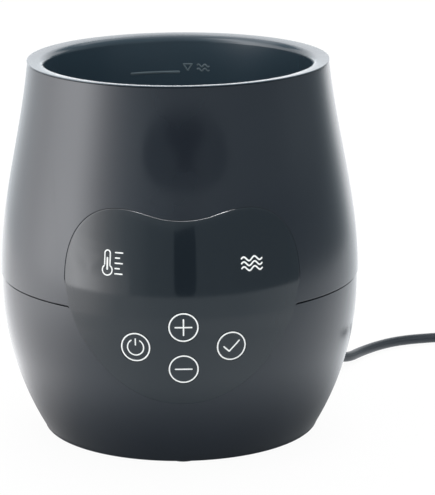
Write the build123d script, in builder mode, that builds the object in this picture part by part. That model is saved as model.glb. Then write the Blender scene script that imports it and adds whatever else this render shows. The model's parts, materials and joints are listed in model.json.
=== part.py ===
from build123d import *
import os
from math import asin, cos, hypot, pi, radians, sin, sqrt, tan

# A countertop sake warmer: a round water tank heated from below, in a two-part
# casing with a heart-shaped control panel. Millimetres, +Z up, panel toward -Y,
# origin on the table under the centre of the body.

# ---- Casing -----------------------------------------------------------------
BODY_R = 75.0          # widest radius, at the foot of the upper shell
SHELL_STEP = 0.5       # how far the lower shell stands inside the upper one
PARTING_Z = 67.5       # height of the line between the shells
SEAM_R = 62.4          # top edge of the upper shell, under the lip
SEAM_Z = 156.4
SEAM_LEAN = 6.2        # degrees that the wall leans inward at the top edge
PULL_LOW = 31.0        # handles of the shoulder curve
PULL_TOP = 31.4
BASE_R = 57.4          # foot of the lower shell
BASE_Z = 1.0
FLANK_R = 71.0         # lower shell half way up
SHELL_WALL = 2.5
BASE_ROUND = 1.1
TONGUE_WALL = 1.4      # ring on the lower shell that stands inside the upper one
TONGUE_RISE = 3.5
TONGUE_DROP = 5.0
FIT = 0.3              # clearance between moulded pieces that locate each other
LEDGE_WIDE = 10.9      # inward ledge that the base plate closes against
LEDGE_WALL = 1.6

# ---- Base plate and feet ----------------------------------------------------
PLATE_WALL = 2.2
PLATE_Z = 1.2
BASE_RIM = 1.5         # rim of the lower shell round the base plate
FOOT_R = 6.2
FOOT_EDGE = 0.2        # foot to the edge of the base plate
FOOT_SEAT = 0.8
FEET = 4
SCREW_EDGE = 3.8       # head of a base screw to the edge of the base plate
POST_R = 4.0           # posts of the tank that the base screws pull down
POST_FOOT_R = 5.0
POST_TURN = 30.0
POSTS = 4
SCREW_R = 1.5
SCREW_HEAD_R = 2.8
SCREW_HEAD = 1.6
SCREW_GRIP = 10.0

# ---- Tank -------------------------------------------------------------------
TANK_IN = 6.9          # tank's mouth inside the top edge of the upper shell
TANK_TAPER = 3.5       # how much narrower the tank is at its foot
TANK_WALL = 2.0
LIP_OVER = 0.3         # how far the lip covers the top edge of the upper shell
LIP_TOP = 158.0
LIP_ROUND = 2.5        # inner edge of the lip
LIP_EDGE = 0.5         # outer edge of the lip
LIP_GAP = 0.2
SKIRT_WALL = 1.1
SKIRT_DROP = 3.0
FLANGE_Z = 42.0        # underside of the tank's bottom flange
FLANGE_WALL = 2.5
FLANGE_CLEAR = 1.0     # studs to the hole in the flange

# ---- Heater stack, from the flange up and down ------------------------------
SEAL_WALL = 1.2
SEAL_BACK = 2.0        # seal behind the edge of that hole
HOT_PLATE_CLEAR = 0.7  # heating plate to the tank's wall
HOT_PLATE_WALL = 1.2
STUD_R = 1.5
STUD_EDGE = 2.5        # studs from the inner edge of the clamp ring
STUDS = 4
CLAMP_WIDE = 9.5
CLAMP_CLEAR = 2.5      # clamp ring to the posts
CLAMP_WALL = 1.6
NUT_ACROSS = 5.5
NUT_TALL = 2.4
STUD_TAIL = 0.8
SPREADER_CLEAR = 2.0   # spreader to the clamp ring
SPREADER_WALL = 4.0
HEATER_R = 22.0
HEATER_TUBE_R = 3.25
HEATER_SWEEP = 300.0
HEATER_GROOVE = 1.6    # depth of the spreader's groove over the tube
HEATER_PIN_R = 1.6
HEATER_PIN = 6.0
PASTE = 0.1            # film of heat paste or solder between metal pieces
THERMOSTAT_R = 8.0
THERMOSTAT_CAP = 3.6
THERMOSTAT_BODY = 6.6
THERMOSTAT_EARS = 32.0
THERMOSTAT_EAR = 0.8
THERMOSTAT_SCREW_X = 12.0
THERMOSTAT_TAB = 2.0
SENSOR_R = 2.6
SENSOR_TALL = 7.0
SENSOR_Y = 13.5
SHIELD_R = 53.4
SHIELD_WALL = 0.8
SHIELD_Z = 28.0

# ---- Control panel: a heart seen along Y ------------------------------------
DIP_Z = 105.0
LOBE_X = 25.2
LOBE_Z = 109.2
PANEL_HALF = 47.1
WIDEST_Z = 78.0
PANEL_LOW = 29.5
DIP_PULL = 9.0
LOBE_PULL_IN = 10.2
LOBE_PULL_OUT = 13.3
WIDEST_PULL_UP = 19.0
WIDEST_PULL_DOWN = 16.0
LOW_PULL = 30.0
LENS_RECESS = 0.1
LENS_WALL = 2.3
LENS_GAP = 0.15
FRAME_WALL = 1.6
FRAME_LAP = 3.0
FRAME_LEDGE = 5.0
FRAME_GAP = 0.1

# ---- Keys and control board -------------------------------------------------
KEY_R = 6.2
KEY_GAP = 0.12
KEY_SIDE_X = 19.05
KEY_SIDE_Z = 54.0
KEY_PLUS_Z = 62.7
KEY_MINUS_Z = 45.0
KEY_FLANGE = 1.0       # how far the hidden flange stands out round a key
KEY_FLANGE_WALL = 1.2
KEY_REST = 0.3         # flange to lens when the key is up
KEY_STEM_R = 2.5
BOARD_DEPTH = 14.5     # front of the control board behind the widest part of the panel
BOARD_WALL = 1.6
BOARD_HALF = 28.0
BOARD_LOW = 34.8
BOARD_TOP = 108.2
BOARD_CORNER = 3.0
BOARD_POST_R = 3.0
BOARD_POST_LOW = (21.0, 38.4)
BOARD_POST_TOP = (24.6, 104.8)
BOARD_SCREW_R = 1.1
BOARD_SCREW_HEAD_R = 2.1
BOARD_SCREW_HEAD = 1.2
BOARD_SCREW_GRIP = 2.4
SWITCH_WIDE = 6.0
SWITCH_TALL = 2.8
PLUNGER_R = 1.7
PLUNGER_OUT = 0.7
PLUNGER_IN = 1.2
PLUNGER_PLAY = 0.6     # free depth under a plunger, more than a key travels
DISPLAY_X = 11.5
DISPLAY_Z = 87.3
DISPLAY_WIDE = 20.0
DISPLAY_TALL = 16.0
DISPLAY_DEEP = 5.4
CHIP_WIDE = 9.0
CHIP_TALL = 1.5
CHIP_AT = (-15.0, 71.5)

# ---- Power board ------------------------------------------------------------
POWER_Z = 12.0         # underside of the power board
POWER_LONG = 70.0
POWER_WIDE = 56.0
POWER_CORNER = 4.0
PILLAR_X = 30.0
PILLAR_Y = 23.0
PILLAR_R = 3.4
POWER_SCREW_GRIP = 6.0
TRANSFORMER = (22.0, 18.0, 12.5)
TRANSFORMER_AT = (0.0, 0.0)
RELAY = (18.0, 10.0, 12.0)
RELAY_AT = (24.0, -9.0)
NOISE_CAP = (15.0, 6.0, 11.0)
NOISE_CAP_AT = (24.0, 2.5)
SMOOTH_CAP_R = 5.0
SMOOTH_CAP_TALL = 12.0
SMOOTH_CAP_AT = (-26.5, 0.0)
FUSE_R = 2.6
FUSE_LONG = 20.0
FUSE_AT = (16.0, -20.5)
BUZZER_R = 6.0
BUZZER_TALL = 7.0
BUZZER_AT = (-16.0, -21.0)
TERMINAL = (12.0, 8.0, 9.5)
TERMINAL_AT = (19.0, 18.5)
SOCKET = (9.0, 5.0, 6.0)

# ---- Wiring -----------------------------------------------------------------
RIBBON_WIDE = 8.0
RIBBON_WALL = 1.0
WIRE_R = 0.9
LEAD_R = 1.3
LEAD_HOLE_R = 2.6
CORD_R = 2.25
CORD_LIFT = 0.05       # cord above the table
GLAND_Z = 8.6
GLAND_TURN = 45.0      # degrees from +X toward +Y at which the cord leaves
GLAND_NECK_R = 3.1
GLAND_COLLAR_R = 3.6
GLAND_COLLAR = 1.6
GLAND_BOSS_R = 5.6     # flat round boss on the shell that the relief stands on
GLAND_BOSS_RISE = 0.4
RELIEF_R = 4.3
RELIEF_LONG = 20.0
RELIEF_TIP_R = 3.1
CLAMP_BACK = 5.4       # cord clamp from the foot of the casing
CLAMP_LONG = 15.0
CLAMP_DEEP = 6.0
CLAMP_CAP = 2.0
CLAMP_SCREW_X = 5.4
TAIL_SHOW = 4.5        # end of the jacket past the middle of the clamp

# ---- Coil and plug ----------------------------------------------------------
COIL_AT = (158.0, 80.0)
COIL_MID_R = 25.0
COIL_WIDE = 18.0
COIL_TALL = 9.0
COIL_LEAD = 19.5       # straight end that runs clear of the turns
PLUG_WIDE = 22.0
PLUG_LONG = 21.0
PLUG_TALL = 13.6
PLUG_ROUND = 3.0
PLUG_RELIEF = 12.0
BLADE_WIDE = 6.3
BLADE_THICK = 1.5
BLADE_LONG = 17.5
BLADE_PITCH = 12.7

LEADS_BARE = 5.0       # straight start of the mains leads
LEADS_ENTRY = 6.0      # straight run of the leads into their terminals
CORD_STRAIGHT = 9.0    # straight start of the cord out of its relief

# ---- Radii that follow ------------------------------------------------------
LOWER_R = BODY_R - SHELL_STEP
OPENING_R = BASE_R - BASE_RIM
LEDGE_R = OPENING_R - LEDGE_WIDE
FOOT_RING_R = OPENING_R - FIT - FOOT_R - FOOT_EDGE
POST_RING_R = OPENING_R - FIT - SCREW_HEAD_R - SCREW_EDGE
LIP_R = SEAM_R + LIP_OVER
TANK_TOP_R = SEAM_R - TANK_IN
TANK_LOW_R = TANK_TOP_R - TANK_TAPER
HOT_PLATE_R = TANK_LOW_R - HOT_PLATE_CLEAR
CLAMP_OUT_R = POST_RING_R - POST_R - CLAMP_CLEAR
CLAMP_IN_R = CLAMP_OUT_R - CLAMP_WIDE
STUD_RING_R = CLAMP_IN_R + STUD_EDGE
FLANGE_HOLE_R = STUD_RING_R + STUD_R + FLANGE_CLEAR
SEAL_R = FLANGE_HOLE_R + SEAL_BACK
SPREADER_R = CLAMP_IN_R - SPREADER_CLEAR
BOARD_Y = LOWER_R - BOARD_DEPTH
CLAMP_RING_R = BASE_R - CLAMP_BACK
TAIL_END_R = CLAMP_RING_R - TAIL_SHOW

# ---- Heights and places that follow -----------------------------------------
PLATE_TOP = PLATE_Z + PLATE_WALL
LEDGE_TOP = PLATE_TOP + LEDGE_WALL
FLANGE_TOP = FLANGE_Z + FLANGE_WALL
SEAL_TOP = FLANGE_TOP + SEAL_WALL
HOT_PLATE_TOP = SEAL_TOP + HOT_PLATE_WALL
CLAMP_Z = FLANGE_Z - CLAMP_WALL
NUT_Z = CLAMP_Z - NUT_TALL
SPREADER_Z = SEAL_TOP - PASTE - SPREADER_WALL
HEATER_Z = SPREADER_Z + HEATER_GROOVE - HEATER_TUBE_R - PASTE
HEATER_PIN_END = HEATER_Z - HEATER_TUBE_R - HEATER_PIN
HEATER_END = radians(HEATER_SWEEP / 2)
HEATER_PINS = [(HEATER_R * cos(HEATER_END), s * HEATER_R * sin(HEATER_END)) for s in (-1, 1)]
LIP_Z = SEAM_Z + LIP_GAP
POWER_TOP = POWER_Z + BOARD_WALL
GLAND_WAY = Vector(cos(radians(GLAND_TURN)), sin(radians(GLAND_TURN)), 0)
KEYS = {
    "plus": (0.0, KEY_PLUS_Z),
    "minus": (0.0, KEY_MINUS_Z),
    "power": (-KEY_SIDE_X, KEY_SIDE_Z),
    "set": (KEY_SIDE_X, KEY_SIDE_Z),
}
BOARD_POSTS = [(s * x, z) for x, z in (BOARD_POST_LOW, BOARD_POST_TOP) for s in (-1, 1)]
LENS_INSET = LENS_RECESS + LENS_WALL
FRAME_INSET = max(LENS_INSET, SHELL_WALL) + FRAME_GAP
PLUNGER_TIP = BOARD_Y + SWITCH_TALL + PLUNGER_OUT
CORD_Z = CORD_R + CORD_LIFT


def flank(inset):
    """Arc of the lower shell's side, moved inward."""
    half_way = (FLANK_R - inset, (BASE_Z + PARTING_Z) / 2)
    return ThreePointArc((BASE_R - inset, BASE_Z), half_way, (LOWER_R - inset, PARTING_Z))


def shoulder(inset, crown=BODY_R):
    """Curve of the upper shell's side from its foot, radius crown, moved inward."""
    foot, top = crown - inset, SEAM_R - inset
    leaning = top + PULL_TOP * tan(radians(SEAM_LEAN))
    return Bezier(
        (foot, PARTING_Z), (foot, PARTING_Z + PULL_LOW), (leaning, SEAM_Z - PULL_TOP), (top, SEAM_Z)
    )


def flank_radius(z):
    """Outer radius of the lower shell at height z."""
    arc = flank(0)
    return arc.arc_center.X + sqrt(arc.radius**2 - (z - arc.arc_center.Y) ** 2)


BOSS_IN = flank_radius(GLAND_Z - GLAND_COLLAR_R) - SHELL_WALL
BOSS_OUT = flank_radius(GLAND_Z + GLAND_BOSS_R) + GLAND_BOSS_RISE
COLLAR_IN = BOSS_IN - PASTE - GLAND_COLLAR


def cord_plane(r):
    """Plane square to the cord where it leaves, r from the body's axis."""
    return Plane(origin=GLAND_WAY * r + Vector(0, 0, GLAND_Z), z_dir=GLAND_WAY)


def panel_form(inset):
    """Solid inside the panel's face, which runs smoothly over both shells."""
    with BuildPart() as form:
        with BuildSketch(Plane.XZ):
            with BuildLine():
                low = flank(inset)
                high = shoulder(inset, LOWER_R)
                Polyline(high @ 1, (0, SEAM_Z), (0, BASE_Z), low @ 0)
            make_face()
        revolve(axis=Axis.Z)
    return form.part


def panel_outline(grow):
    """Heart outline of the panel, seen along Y and widened by grow."""
    dip, lobe, low, side = DIP_Z + grow, LOBE_Z + grow, PANEL_LOW - grow, PANEL_HALF + grow
    with BuildSketch(Plane.XZ) as outline:
        with BuildLine():
            Bezier((0, dip), (DIP_PULL, dip), (LOBE_X - LOBE_PULL_IN, lobe), (LOBE_X, lobe))
            Bezier(
                (LOBE_X, lobe),
                (LOBE_X + LOBE_PULL_OUT + grow / 2, lobe),
                (side, WIDEST_Z + WIDEST_PULL_UP + grow / 2),
                (side, WIDEST_Z),
            )
            Bezier((side, WIDEST_Z), (side, WIDEST_Z - WIDEST_PULL_DOWN), (LOW_PULL, low), (0, low))
            Line((0, low), (0, dip))
        make_face()
        mirror(about=Plane.YZ)
    return outline.sketch


def key_outline(name, grow=0.0):
    """Key outline that looks round on the curved panel, seen along Y."""
    x, z = KEYS[name]
    across = KEY_R * cos(asin(x / flank_radius(z)))
    with BuildSketch(Plane.XZ) as outline:
        with Locations((x, z)):
            Ellipse(across + grow, KEY_R + grow)
    return outline.sketch


def key_seat(name):
    """Depth of the front of a key's flange, just clear of the lens behind it."""
    x, z = KEYS[name]
    reach = KEY_R + KEY_FLANGE
    inside = flank_radius(z - reach) - LENS_INSET
    return sqrt(inside**2 - (abs(x) + reach) ** 2) - KEY_REST


def screws(shank_r, shank, head_r, head, plane, spots):
    """Round-headed screws, heads on the near side of the plane, in one node."""
    with BuildPart() as group:
        with BuildSketch(plane):
            with Locations(*spots):
                Circle(shank_r)
        extrude(amount=shank)
        with BuildSketch(plane):
            with Locations(*spots):
                Circle(head_r)
        extrude(amount=-head)
        with BuildSketch(plane.offset(-head)):
            with Locations(*spots):
                Rectangle(head_r * 1.2, head_r * 0.24)
                Rectangle(head_r * 0.24, head_r * 1.2)
        extrude(amount=head * 0.5, mode=Mode.SUBTRACT)
    return group.part


def tube(points, radius):
    """Round tube along straight runs joined by arcs as large as the runs allow."""
    ways = [Vector(*b) - Vector(*a) for a, b in zip(points, points[1:])]
    radii = []
    for before, after in zip(ways, ways[1:]):
        half_turn = radians(before.get_angle(after)) / 2
        radii.append(0.45 * min(before.length, after.length) / tan(half_turn))
    with BuildPart() as body:
        with BuildLine() as path:
            if radii:
                FilletPolyline(*points, radius=radii)
            else:
                Line(*points)
        with BuildSketch(Plane(origin=points[0], z_dir=ways[0])):
            Circle(radius)
        sweep()
    length = sum(edge.length for edge in path.edges())
    share = body.part.volume / (pi * radius**2 * length)
    print(f"tube {length:.1f} long, radii {[round(r, 1) for r in radii]}, volume {share:.4f} of its own")
    return body.part


def save(part, name):
    """Label a finished piece and write its file."""
    part.label = name
    export_step(part, f"parts/{name}.step")


os.makedirs("parts", exist_ok=True)

# ---- Shells -----------------------------------------------------------------
with BuildPart() as upper_shell:
    with BuildSketch(Plane.XZ):
        with BuildLine():
            outside = shoulder(0)
            inside = shoulder(SHELL_WALL)
            Line(outside @ 0, inside @ 0)
            Line(outside @ 1, inside @ 1)
        make_face()
    revolve(axis=Axis.Z)
    extrude(panel_outline(LENS_GAP), amount=2 * BODY_R, mode=Mode.SUBTRACT)
save(upper_shell.part, "upper_shell")

with BuildPart() as lower_shell:
    with BuildSketch(Plane.XZ):
        tongue_out = BODY_R - SHELL_WALL - FIT
        with BuildLine():
            Polyline(
                (tongue_out - TONGUE_WALL, PARTING_Z - TONGUE_DROP),
                (tongue_out, PARTING_Z - TONGUE_DROP),
                (tongue_out, PARTING_Z + TONGUE_RISE),
                (tongue_out - TONGUE_WALL, PARTING_Z + TONGUE_RISE),
                close=True,
            )
        make_face()
    revolve(axis=Axis.Z)
    extrude(panel_outline(FRAME_LAP + FIT), amount=2 * BODY_R, mode=Mode.SUBTRACT)
    with BuildSketch(Plane.XZ) as wall:
        with BuildLine():
            outside = flank(0)
            inside = flank(SHELL_WALL)
            Line(outside @ 0, inside @ 0)
            Line(outside @ 1, inside @ 1)
        make_face()
        fillet(wall.vertices().sort_by(Axis.Y)[:2].sort_by(Axis.X)[-1:], BASE_ROUND)
    revolve(axis=Axis.Z)
    with BuildSketch(cord_plane(BOSS_IN)):
        Circle(GLAND_BOSS_R)
    extrude(amount=BOSS_OUT - BOSS_IN)
    with BuildSketch(Plane.XY.offset(PLATE_TOP)):
        Circle(BASE_R)
        Circle(LEDGE_R, mode=Mode.SUBTRACT)
    extrude(amount=LEDGE_WALL)
    with BuildSketch(Plane.XY):
        Circle(OPENING_R)
    extrude(amount=PLATE_TOP, mode=Mode.SUBTRACT)
    with BuildSketch(Plane.XY):
        with PolarLocations(POST_RING_R, POSTS, POST_TURN):
            Circle(SCREW_R + FIT)
    extrude(amount=LEDGE_TOP, mode=Mode.SUBTRACT)
    with BuildSketch(cord_plane(LEDGE_R)):
        Circle(GLAND_NECK_R)
    extrude(amount=BODY_R, mode=Mode.SUBTRACT)
    extrude(panel_outline(LENS_GAP), amount=2 * BODY_R, mode=Mode.SUBTRACT)
save(lower_shell.part, "lower_shell")

# ---- Base -------------------------------------------------------------------
with BuildPart() as base_plate:
    with BuildSketch(Plane.XY.offset(PLATE_Z)):
        Circle(OPENING_R - FIT)
    extrude(amount=PLATE_WALL)
    with BuildSketch(Plane.XY.offset(PLATE_TOP)):
        with GridLocations(2 * PILLAR_X, 2 * PILLAR_Y, 2, 2):
            Circle(PILLAR_R)
    extrude(amount=POWER_Z - PLATE_TOP)
    with BuildSketch(Plane.XY.offset(POWER_Z)):
        with GridLocations(2 * PILLAR_X, 2 * PILLAR_Y, 2, 2):
            Circle(SCREW_R)
    extrude(amount=-POWER_SCREW_GRIP, mode=Mode.SUBTRACT)
    with BuildSketch(Plane.XY.offset(PLATE_Z)):
        with PolarLocations(FOOT_RING_R, FEET):
            Circle(FOOT_R)
    extrude(amount=FOOT_SEAT, mode=Mode.SUBTRACT)
    with BuildSketch(Plane.XY.offset(PLATE_Z)):
        with PolarLocations(POST_RING_R, POSTS, POST_TURN):
            Circle(SCREW_R + FIT)
    extrude(amount=PLATE_WALL, mode=Mode.SUBTRACT)
    with BuildSketch(Plane.XY.offset(PLATE_Z)):
        with PolarLocations(POST_RING_R, POSTS, POST_TURN):
            Circle(SCREW_HEAD_R + FIT)
    extrude(amount=SCREW_HEAD, mode=Mode.SUBTRACT)
save(base_plate.part, "base_plate")

with BuildPart() as feet:
    with BuildSketch(Plane.XY):
        with PolarLocations(FOOT_RING_R, FEET):
            Circle(FOOT_R)
    extrude(amount=PLATE_Z + FOOT_SEAT)
save(feet.part, "feet")

post_spots = [
    (POST_RING_R * cos(radians(POST_TURN + 360 / POSTS * i)),
     POST_RING_R * sin(radians(POST_TURN + 360 / POSTS * i)))
    for i in range(POSTS)
]
head_seat = Plane.XY.offset(PLATE_Z + SCREW_HEAD)
base_grip = LEDGE_TOP + SCREW_GRIP - head_seat.origin.Z
save(screws(SCREW_R, base_grip, SCREW_HEAD_R, SCREW_HEAD, head_seat, post_spots), "base_screws")

# ---- Tank -------------------------------------------------------------------
with BuildPart() as tank_liner:
    with BuildSketch(Plane.XZ) as section:
        with BuildLine():
            Polyline(
                (TANK_LOW_R, FLANGE_TOP),
                (TANK_TOP_R, LIP_TOP),
                (LIP_R, LIP_TOP),
                (LIP_R, LIP_Z),
                (TANK_TOP_R + TANK_WALL, LIP_Z),
                (TANK_LOW_R + TANK_WALL, FLANGE_Z),
                (FLANGE_HOLE_R, FLANGE_Z),
                (FLANGE_HOLE_R, FLANGE_TOP),
                close=True,
            )
        make_face()
        rim = section.vertices().group_by(Axis.Y)[-1].sort_by(Axis.X)
        fillet(rim[:1], LIP_ROUND)
        rim = section.vertices().group_by(Axis.Y)[-1].sort_by(Axis.X)
        fillet(rim[-1:], LIP_EDGE)
    revolve(axis=Axis.Z)
    with BuildSketch(Plane.XY.offset(LIP_Z)):
        skirt_r = SEAM_R - SHELL_WALL - FIT
        Circle(skirt_r)
        Circle(skirt_r - SKIRT_WALL, mode=Mode.SUBTRACT)
    extrude(amount=-SKIRT_DROP)
    with BuildSketch(Plane.XY.offset(FLANGE_Z)):
        with PolarLocations(POST_RING_R, POSTS, POST_TURN):
            Circle(POST_R)
    extrude(amount=-(FLANGE_Z - LEDGE_TOP))
    with BuildSketch(Plane.XY.offset(LEDGE_TOP)):
        with PolarLocations(POST_RING_R, POSTS, POST_TURN):
            Circle(POST_FOOT_R)
    extrude(amount=SHIELD_Z - LEDGE_TOP)
    with BuildSketch(Plane.XY.offset(LEDGE_TOP)):
        with PolarLocations(POST_RING_R, POSTS, POST_TURN):
            Circle(SCREW_R)
    extrude(amount=SCREW_GRIP, mode=Mode.SUBTRACT)
save(tank_liner.part, "tank_liner")

with BuildPart() as plate_seal:
    with BuildSketch(Plane.XY.offset(FLANGE_TOP)):
        Circle(HOT_PLATE_R)
        Circle(SEAL_R, mode=Mode.SUBTRACT)
    extrude(amount=SEAL_WALL)
save(plate_seal.part, "plate_seal")

with BuildPart() as heating_plate:
    with BuildSketch(Plane.XY.offset(SEAL_TOP)):
        Circle(HOT_PLATE_R)
    extrude(amount=HOT_PLATE_WALL)
    with BuildSketch(Plane.XY.offset(SEAL_TOP)):
        with PolarLocations(STUD_RING_R, STUDS):
            Circle(STUD_R)
    extrude(amount=-(SEAL_TOP - NUT_Z + STUD_TAIL))
save(heating_plate.part, "heating_plate")

with BuildPart() as clamp_ring:
    with BuildSketch(Plane.XY.offset(CLAMP_Z)):
        Circle(CLAMP_OUT_R)
        Circle(CLAMP_IN_R, mode=Mode.SUBTRACT)
        with PolarLocations(STUD_RING_R, STUDS):
            Circle(STUD_R + FIT, mode=Mode.SUBTRACT)
    extrude(amount=CLAMP_WALL)
save(clamp_ring.part, "clamp_ring")

with BuildPart() as clamp_nuts:
    with BuildSketch(Plane.XY.offset(NUT_Z)):
        with PolarLocations(STUD_RING_R, STUDS):
            RegularPolygon(NUT_ACROSS / 2, 6, major_radius=False)
            Circle(STUD_R, mode=Mode.SUBTRACT)
    extrude(amount=NUT_TALL)
save(clamp_nuts.part, "clamp_nuts")

# ---- Heater -----------------------------------------------------------------
screw_spots = [(-THERMOSTAT_SCREW_X, 0), (THERMOSTAT_SCREW_X, 0)]
with BuildPart() as heat_spreader:
    with BuildSketch(Plane.XY.offset(SPREADER_Z)):
        Circle(SPREADER_R)
        with Locations(*screw_spots):
            Circle(SCREW_R, mode=Mode.SUBTRACT)
    extrude(amount=SPREADER_WALL)
    with BuildSketch(Plane.XZ):
        with Locations((HEATER_R, HEATER_Z)):
            Circle(HEATER_TUBE_R + PASTE)
    revolve(axis=Axis.Z, mode=Mode.SUBTRACT)
save(heat_spreader.part, "heat_spreader")

with BuildPart() as ring_heater:
    with BuildSketch(Plane.XZ.rotated((0, 0, -HEATER_SWEEP / 2))):
        with Locations((HEATER_R, HEATER_Z)):
            Circle(HEATER_TUBE_R)
    revolve(axis=Axis.Z, revolution_arc=HEATER_SWEEP)
    with BuildSketch(Plane.XY.offset(HEATER_Z)):
        with Locations(*HEATER_PINS):
            Circle(HEATER_PIN_R)
    extrude(amount=-(HEATER_Z - HEATER_PIN_END))
save(ring_heater.part, "ring_heater")

with BuildPart() as thermostat:
    cap_z = SPREADER_Z - THERMOSTAT_CAP
    with BuildSketch(Plane.XY.offset(cap_z - THERMOSTAT_BODY)):
        Circle(THERMOSTAT_R)
    extrude(amount=THERMOSTAT_BODY + THERMOSTAT_CAP)
    with BuildSketch(Plane.XY.offset(cap_z)):
        SlotOverall(THERMOSTAT_EARS, THERMOSTAT_R)
        with Locations(*screw_spots):
            Circle(SCREW_R + PASTE, mode=Mode.SUBTRACT)
    extrude(amount=-THERMOSTAT_EAR)
    with BuildSketch(Plane.XY.offset(cap_z - THERMOSTAT_BODY)):
        with Locations((0, -THERMOSTAT_R / 2), (0, THERMOSTAT_R / 2)):
            Rectangle(BLADE_WIDE, SHIELD_WALL)
    extrude(amount=-THERMOSTAT_TAB)
save(thermostat.part, "thermostat")

ear_seat = Plane.XY.offset(cap_z - THERMOSTAT_EAR)
ear_grip = SPREADER_Z + SPREADER_WALL - ear_seat.origin.Z
save(
    screws(SCREW_R, ear_grip, SCREW_HEAD_R, SCREW_HEAD, ear_seat, screw_spots), "thermostat_screws"
)


def probe(name, y):
    """Small round sensor standing under the heat spreader."""
    with BuildPart() as body:
        with BuildSketch(Plane.XY.offset(SPREADER_Z - SENSOR_TALL)):
            with Locations((0, y)):
                Circle(SENSOR_R)
        extrude(amount=SENSOR_TALL)
    save(body.part, name)


probe("temperature_sensor", -SENSOR_Y)
probe("thermal_fuse", SENSOR_Y)

lead_spots = HEATER_PINS + [(0, -SENSOR_Y), (0, SENSOR_Y)]
with BuildPart() as heat_shield:
    with BuildSketch(Plane.XY.offset(SHIELD_Z)):
        Circle(SHIELD_R)
        with PolarLocations(POST_RING_R, POSTS, POST_TURN):
            Circle(POST_R + FIT, mode=Mode.SUBTRACT)
        with Locations(*lead_spots):
            Circle(LEAD_HOLE_R, mode=Mode.SUBTRACT)
    extrude(amount=SHIELD_WALL)
save(heat_shield.part, "heat_shield")

# ---- Control panel ----------------------------------------------------------
with BuildPart() as panel_lens:
    extrude(panel_outline(0), amount=2 * BODY_R)
    add(panel_form(LENS_RECESS), mode=Mode.INTERSECT)
    add(panel_form(LENS_INSET), mode=Mode.SUBTRACT)
    for key_name in KEYS:
        extrude(key_outline(key_name, KEY_GAP), amount=2 * BODY_R, mode=Mode.SUBTRACT)
save(panel_lens.part, "panel_lens")

with BuildPart() as panel_frame:
    extrude(panel_outline(FRAME_LAP), amount=2 * BODY_R)
    extrude(panel_outline(-FRAME_LEDGE), amount=2 * BODY_R, mode=Mode.SUBTRACT)
    add(panel_form(FRAME_INSET + FRAME_WALL), mode=Mode.SUBTRACT)
    with BuildSketch(Plane.XZ.offset(BOARD_Y)):
        with Locations(*BOARD_POSTS):
            Circle(BOARD_POST_R)
    extrude(amount=BODY_R)
    with BuildSketch(Plane.XZ.offset(BOARD_Y)):
        with Locations(*BOARD_POSTS):
            Circle(BOARD_SCREW_R)
    extrude(amount=BOARD_SCREW_GRIP, mode=Mode.SUBTRACT)
    add(panel_form(FRAME_INSET), mode=Mode.INTERSECT)
save(panel_frame.part, "panel_frame")

with BuildPart() as control_board:
    with BuildSketch(Plane.XZ.offset(BOARD_Y)):
        with Locations((0, (BOARD_LOW + BOARD_TOP) / 2)):
            RectangleRounded(2 * BOARD_HALF, BOARD_TOP - BOARD_LOW, BOARD_CORNER)
        with Locations(*BOARD_POSTS):
            Circle(BOARD_SCREW_R + FIT, mode=Mode.SUBTRACT)
    extrude(amount=-BOARD_WALL)
save(control_board.part, "control_board")

board_back = Plane.XZ.offset(BOARD_Y - BOARD_WALL)
save(
    screws(
        BOARD_SCREW_R, BOARD_WALL + BOARD_SCREW_GRIP, BOARD_SCREW_HEAD_R, BOARD_SCREW_HEAD,
        board_back, BOARD_POSTS,
    ),
    "board_screws",
)

with BuildPart() as tact_switches:
    with BuildSketch(Plane.XZ.offset(BOARD_Y)):
        with Locations(*KEYS.values()):
            RectangleRounded(SWITCH_WIDE, SWITCH_WIDE, SWITCH_WIDE / 10)
    extrude(amount=SWITCH_TALL)
    with BuildSketch(Plane.XZ.offset(BOARD_Y + SWITCH_TALL)):
        with Locations(*KEYS.values()):
            Circle(PLUNGER_R + FIT)
    extrude(amount=-(PLUNGER_IN + PLUNGER_PLAY), mode=Mode.SUBTRACT)
save(tact_switches.part, "tact_switches")

for key_name, key_spot in KEYS.items():
    seat = key_seat(key_name)
    with BuildPart() as key:
        extrude(key_outline(key_name), amount=2 * BODY_R)
        add(panel_form(LENS_RECESS), mode=Mode.INTERSECT)
        with BuildSketch(Plane.XZ.offset(seat)):
            with Locations(key_spot):
                Circle(BODY_R)
        extrude(amount=-2 * BODY_R, mode=Mode.SUBTRACT)
        with BuildSketch(Plane.XZ.offset(seat)):
            with Locations(key_spot):
                Circle(KEY_R + KEY_FLANGE)
        extrude(amount=-KEY_FLANGE_WALL)
        with BuildSketch(Plane.XZ.offset(PLUNGER_TIP)):
            with Locations(key_spot):
                Circle(KEY_STEM_R)
        extrude(amount=seat - PLUNGER_TIP)
    save(key.part, f"key_{key_name}")
    with BuildPart() as plunger:
        with BuildSketch(Plane.XZ.offset(PLUNGER_TIP)):
            with Locations(key_spot):
                Circle(PLUNGER_R)
        extrude(amount=-(PLUNGER_OUT + PLUNGER_IN))
    save(plunger.part, f"plunger_{key_name}")

for side, display_name in ((-1, "set_display"), (1, "water_display")):
    with BuildPart() as display:
        with BuildSketch(Plane.XZ.offset(BOARD_Y)):
            with Locations((side * DISPLAY_X, DISPLAY_Z)):
                Rectangle(DISPLAY_WIDE, DISPLAY_TALL)
        extrude(amount=DISPLAY_DEEP)
        chamfer(display.faces().sort_by(Axis.Y)[0].edges(), BOARD_CORNER / 10)
    save(display.part, display_name)

with BuildPart() as control_chip:
    with BuildSketch(Plane.XZ.offset(BOARD_Y)):
        with Locations(CHIP_AT):
            Rectangle(CHIP_WIDE, CHIP_WIDE)
    extrude(amount=CHIP_TALL)
save(control_chip.part, "control_chip")

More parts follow.
